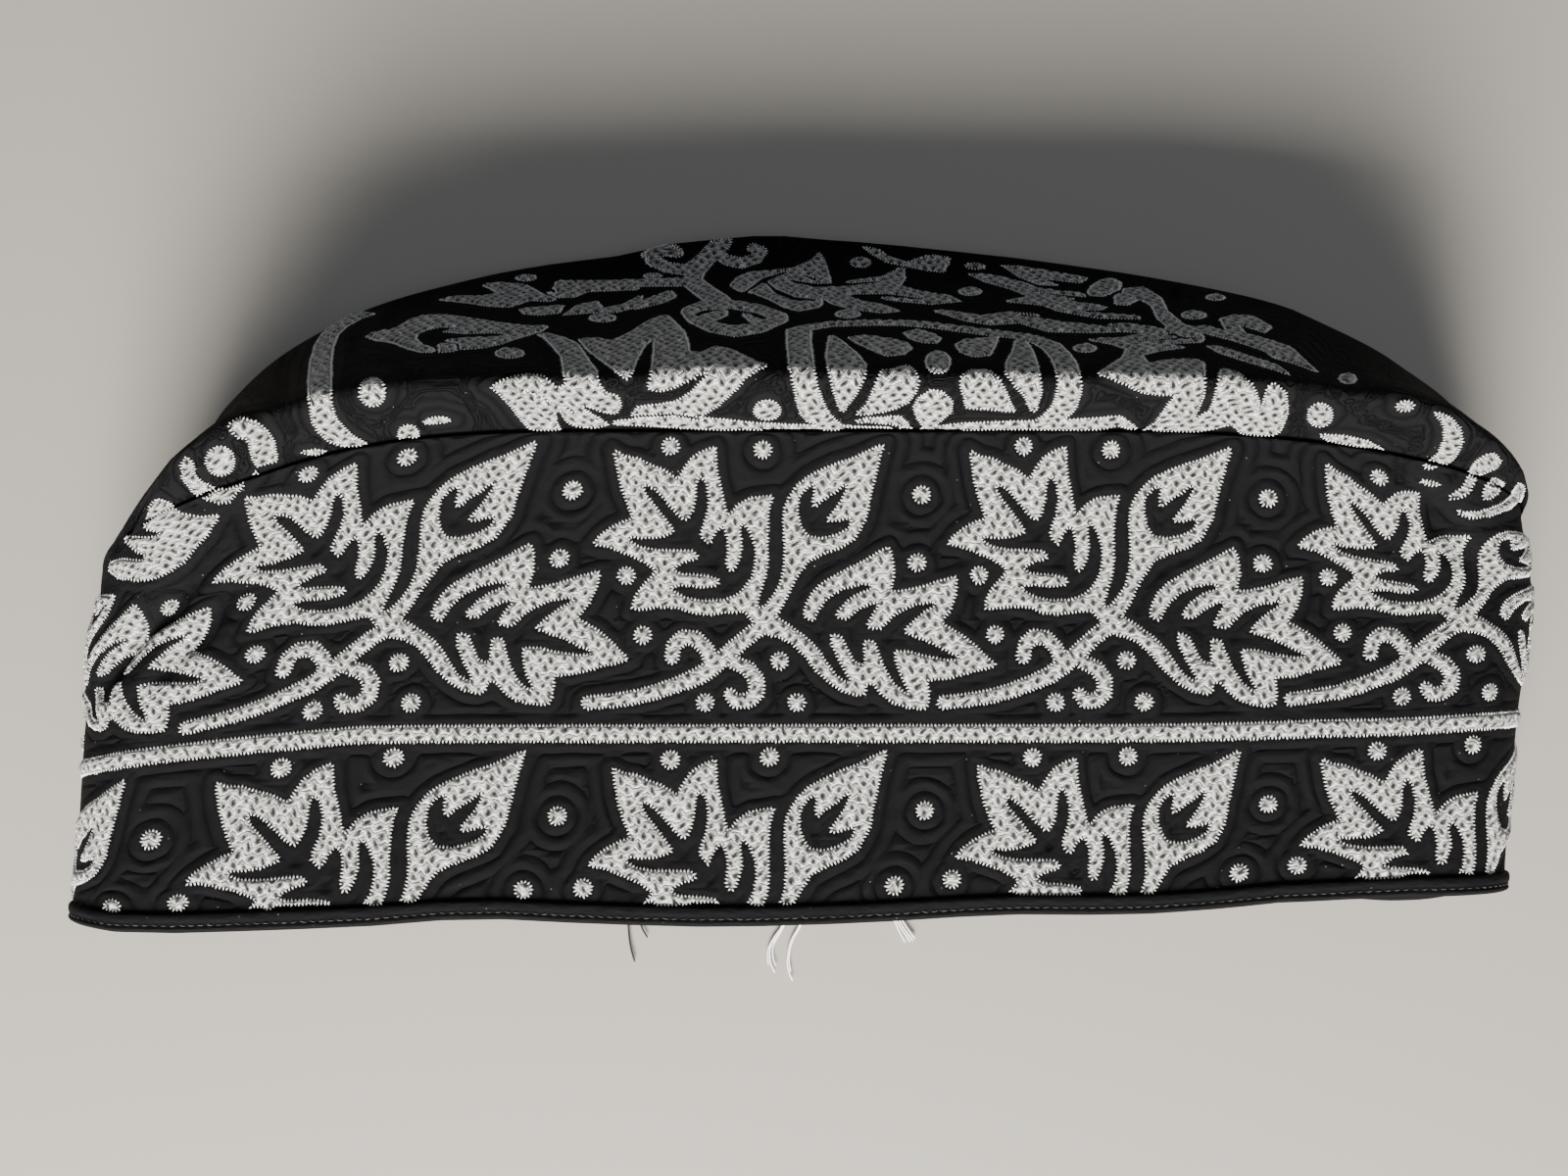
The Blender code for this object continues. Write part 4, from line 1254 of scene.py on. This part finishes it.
def stitchTree(name, material, shape):
    # short threads set one after another along the open edges of a relief, or along a plain wire
    tree = bpy.data.node_groups.new(name, "GeometryNodeTree")
    tree.is_modifier = True
    face = tree.interface
    face.new_socket("Geometry", in_out="INPUT", socket_type="NodeSocketGeometry")
    for label in stitchInputs:
        face.new_socket(label, in_out="INPUT", socket_type="NodeSocketFloat")
    face.new_socket("Geometry", in_out="OUTPUT", socket_type="NodeSocketGeometry")
    nodes, links = tree.nodes, tree.links

    def add(kind, **settings):
        node = nodes.new(kind)
        for label, value in settings.items():
            setattr(node, label, value)
        return node

    def chance(low, high, seed):
        node = add("FunctionNodeRandomValue", data_type="FLOAT")
        node.inputs[2].default_value = low
        node.inputs[3].default_value = high
        node.inputs["Seed"].default_value = seed
        return node.outputs[1]

    start, end = add("NodeGroupInput"), add("NodeGroupOutput")
    lone = add("FunctionNodeCompare", data_type="INT", operation="EQUAL")
    lone.inputs[3].default_value = shape["neighbors"]
    links.new(add("GeometryNodeInputMeshEdgeNeighbors").outputs[0], lone.inputs[2])
    edge = add("GeometryNodeMeshToCurve")
    links.new(start.outputs["Geometry"], edge.inputs["Mesh"])
    links.new(lone.outputs[0], edge.inputs["Selection"])
    even = add("GeometryNodeResampleCurve", mode="LENGTH")
    links.new(edge.outputs[0], even.inputs["Curve"])
    links.new(start.outputs["Pitch"], even.inputs["Length"])
    away = add("GeometryNodeInputNamedAttribute", data_type="FLOAT_VECTOR")
    away.inputs["Name"].default_value = "away"
    raised = add("ShaderNodeVectorMath", operation="SCALE")
    links.new(away.outputs[0], raised.inputs[0])
    links.new(start.outputs["Lift"], raised.inputs["Scale"])
    moved = add("GeometryNodeSetPosition")
    links.new(even.outputs[0], moved.inputs["Geometry"])
    links.new(raised.outputs[0], moved.inputs["Offset"])
    turn = add("FunctionNodeAxesToRotation", primary_axis="Z", secondary_axis="X")
    links.new(away.outputs[0], turn.inputs[0])
    links.new(add("GeometryNodeInputTangent").outputs[0], turn.inputs[1])
    spin = add("FunctionNodeAxisAngleToRotation")
    links.new(chance(-grainShape["sway"], grainShape["sway"], shape["seed"]), spin.inputs["Angle"])
    bent = add("FunctionNodeRotateRotation", rotation_space="LOCAL")
    links.new(turn.outputs[0], bent.inputs[0])
    links.new(spin.outputs[0], bent.inputs[1])
    longer = add("ShaderNodeMath", operation="MULTIPLY")
    links.new(start.outputs["Length"], longer.inputs[0])
    links.new(chance(grainShape["shortest"], grainShape["longest"], shape["seed"] + 1), longer.inputs[1])
    size = add("ShaderNodeCombineXYZ")
    links.new(start.outputs["Width"], size.inputs[0])
    links.new(longer.outputs[0], size.inputs[1])
    links.new(start.outputs["Height"], size.inputs[2])
    grain = add("GeometryNodeMeshUVSphere")
    grain.inputs["Segments"].default_value = grainShape["segments"]
    grain.inputs["Rings"].default_value = grainShape["rings"]
    grain.inputs["Radius"].default_value = 0.5
    put = add("GeometryNodeInstanceOnPoints")
    links.new(moved.outputs[0], put.inputs["Points"])
    links.new(grain.outputs["Mesh"], put.inputs["Instance"])
    links.new(bent.outputs[0], put.inputs["Rotation"])
    links.new(size.outputs[0], put.inputs["Scale"])
    real = add("GeometryNodeRealizeInstances")
    links.new(put.outputs[0], real.inputs[0])
    smooth = add("GeometryNodeSetShadeSmooth")
    links.new(real.outputs[0], smooth.inputs[0])
    dress = add("GeometryNodeSetMaterial")
    dress.inputs["Material"].default_value = material
    links.new(smooth.outputs[0], dress.inputs["Geometry"])
    links.new(dress.outputs[0], end.inputs[0])
    return tree


def growStitches(name, source, tree, shape):
    # run the tree on a copy of the source and keep what it makes as a plain mesh
    copy = linked(name + "_source", source.data.copy())
    modifier = copy.modifiers.new("stitches", "NODES")
    modifier.node_group = tree
    sockets = {item.name: item.identifier for item in tree.interface.items_tree
               if item.item_type == "SOCKET" and item.in_out == "INPUT"}
    for label in stitchInputs:
        modifier[sockets[label]] = shape[label.lower()] * mm
    bpy.context.view_layer.update()
    shown = copy.evaluated_get(bpy.context.evaluated_depsgraph_get())
    mesh = bpy.data.meshes.new_from_object(shown)
    mesh.name = name
    made = linked(name, mesh)
    bpy.data.objects.remove(copy)
    for vertex in mesh.vertices:
        vertex.co.z = max(vertex.co.z, 0.0)
    return made


def buildHemStitches():
    # one row of topstitch near the hem's lower edge
    around = sharesOf(hemShape["linePoints"]) * bandRing(hemShape["stitchUp"], np.zeros(1), 0.0)[2]
    points, away, _ = bandRing(hemShape["stitchUp"], around, hemShape["stitchIn"])
    edges = [(i, (i + 1) % len(points)) for i in range(len(points))]
    mesh = bpy.data.meshes.new("hemLine")
    mesh.from_pydata([tuple(v) for v in points * mm], edges, [])
    layer = mesh.attributes.new("away", "FLOAT_VECTOR", "POINT")
    layer.data.foreach_set("vector", away.astype(np.float32).ravel())
    line = linked("hemLine", mesh)
    tree = stitchTree("hemStitchTree", stitchMaterial("hemThread", hemThreadLook), hemStitchShape)
    made = growStitches("hemStitches", line, tree, hemStitchShape)
    bpy.data.objects.remove(line)
    return made


# loose ends at the hem, as they are seen: half width in millimetres, then spots in the frame
looseEnds = {
    "blackEnds": (
        (0.22, ((640, 925), (641, 942), (642, 957), (644, 969), (648, 982))),
        (0.2, ((650, 925), (653, 941), (656, 949), (661, 957))),
    ),
    "whiteEnds": (
        (0.17, ((803, 925), (800, 944), (791, 957), (785, 967), (786, 983), (791, 993))),
        (0.14, ((804, 925), (801, 944), (792, 958), (788, 967), (789, 979), (792, 986))),
        (0.14, ((802, 925), (799, 944), (789, 957), (783, 969), (784, 985))),
        (0.17, ((818, 925), (817, 944), (809, 955), (805, 966), (803, 983), (805, 992), (809, 1001))),
        (0.14, ((819, 925), (818, 944), (810, 956), (806, 968), (805, 981), (807, 992))),
        (0.16, ((912, 922), (914, 938), (920, 948), (929, 961))),
        (0.16, ((914, 922), (917, 938), (923, 948), (932, 960))),
        (0.16, ((916, 922), (920, 938), (926, 947), (934, 958))),
        (0.14, ((910, 922), (912, 938), (917, 949), (924, 962))),
    ),
}
endLook = {"level": 0.35, "startLevel": 1.3, "sides": 6, "steps": 24, "rounds": 3, "tip": 0.3}


def onTable(px, py, level):
    # the spot at a level that is seen at a place of the frame
    tilt = math.radians(cameraPlace["elevation"])
    dx, dy = (px - middleX) / cameraPlace["lensPixels"], (middleY - py) / cameraPlace["lensPixels"]
    y, z = math.cos(tilt) + dy * math.sin(tilt), -math.sin(tilt) + dy * math.cos(tilt)
    run = (level - cameraPlace["z"]) / z
    return np.array([cameraPlace["x"] + dx * run, cameraPlace["y"] + y * run, level])


def endPath(radius, spots, look):
    # an evenly stepped, smoothed path through the spots of one strand
    levels = [look["startLevel"]] + [look["level"] + radius * 0.5] * (len(spots) - 1)
    knots = np.array([onTable(px, py, level) for (px, py), level in zip(spots, levels)])
    share = np.linspace(0, len(knots) - 1, look["steps"])
    path = np.stack([np.interp(share, np.arange(len(knots)), knots[:, k]) for k in range(3)], 1)
    for _ in range(look["rounds"]):
        path[1:-1] = (path[:-2] + 2 * path[1:-1] + path[2:]) / 4
    return path


def buildLooseEnds(name, material):
    look = endLook
    sides = look["sides"]
    verts, quads = [], []
    for radius, spots in looseEnds[name]:
        path = endPath(radius, spots, look)
        ahead = np.gradient(path, axis=0)
        ahead /= np.linalg.norm(ahead, axis=1, keepdims=True)
        side = np.cross(ahead, (0, 0, 1))
        up = np.cross(side, ahead)
        base = len(verts)
        for i, at in enumerate(path):
            thin = radius * (1.0 if 0 < i < look["steps"] - 1 else look["tip"])
            for k in range(sides):
                turn = 2 * math.pi * k / sides
                verts.append(at + thin * (math.cos(turn) * side[i] + math.sin(turn) * up[i]))
        for i in range(look["steps"] - 1):
            a, b = base + i * sides, base + (i + 1) * sides
            for k in range(sides):
                after = (k + 1) % sides
                quads.append((a + k, a + after, b + after, b + k))
    verts = np.array(verts)
    return makeMesh(name, verts, quads, material, {"place": verts})


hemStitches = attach(buildHemStitches(), "root")
blackEnds = buildLooseEnds("blackEnds", stitchMaterial("blackEndsThread", hemThreadLook))
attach(blackEnds, "root")
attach(buildLooseEnds("whiteEnds", stitchMaterial("whiteEndsThread", looseLook)), "root")
print("hem stitches and loose ends made", len(hemStitches.data.polygons))

thread = threadMaterial("embroideryThread", threadLook)
reliefs = buildBandReliefs(thread) + [buildCrownRelief(thread, crownTileMade)]
print("embroidery made", [len(made.data.polygons) for made in reliefs])

edgeTree = stitchTree("edgeStitches", stitchMaterial("stitchThread", stitchLook), stitchShape)
for source in reliefs:
    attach(source, "root")
    stitches = growStitches(source.name.replace("Sprigs", "Stitches"), source, edgeTree, stitchShape)
    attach(stitches, "root")
    print(stitches.name, len(stitches.data.polygons))

# Floor, light and camera
stageLook = {
    "floor": (0.25, 0.237, 0.214, 1),
    "floorHalf": 3.0,
    "floorLevel": -0.0002,
    "floorRoughness": 0.7,
    "world": (0.80, 0.86, 0.95, 1),
    "worldStrength": 0.28,
    "sensor": 36.0,
    "keyPower": 77.0,
    "keySize": 0.5,
    "keyAt": (-0.1, -0.9, 0.5),
    "keyColor": (1.0, 0.96, 0.9),
    "fillPower": 3.0,
    "fillSize": 1.0,
    "fillAt": (0.5, -0.3, 1.2),
    "fillColor": (0.93, 0.96, 1.0),
}


def addLight(name, look):
    at = look[name + "At"]
    data = bpy.data.lights.new(name, "AREA")
    data.color = look[name + "Color"]
    data.energy = look[name + "Power"]
    data.size = look[name + "Size"]
    made = linked(name, data)
    made.location = at
    made.rotation_euler = (-Vector(at)).to_track_quat("-Z", "Y").to_euler()


def buildStage(look):
    half, level = look["floorHalf"], look["floorLevel"]
    corners = [(x * half, y * half, level) for x, y in ((-1, -1), (1, -1), (1, 1), (-1, 1))]
    mesh = bpy.data.meshes.new("floor")
    mesh.from_pydata(corners, [], [(0, 1, 2, 3)])
    floor = linked("floor", mesh)
    kit = NodeKit("floorPaint")
    kit.shader.inputs["Base Color"].default_value = look["floor"]
    kit.set(roughness=look["floorRoughness"])
    mesh.materials.append(kit.material)
    world = bpy.data.worlds.new("studio")
    world.use_nodes = True
    world.node_tree.nodes["Background"].inputs[0].default_value = look["world"]
    world.node_tree.nodes["Background"].inputs[1].default_value = look["worldStrength"]
    bpy.context.scene.world = world
    addLight("key", look)
    addLight("fill", look)
    camera = bpy.data.cameras.new("camera")
    camera.sensor_width = look["sensor"]
    camera.lens = look["sensor"] * cameraPlace["lensPixels"] / frameSize[0]
    placed = linked("camera", camera)
    placed.location = [cameraPlace[axis] * mm for axis in "xyz"]
    placed.rotation_euler = (math.radians(90 - cameraPlace["elevation"]), 0, 0)
    bpy.context.scene.camera = placed


buildStage(stageLook)
print("stage set")
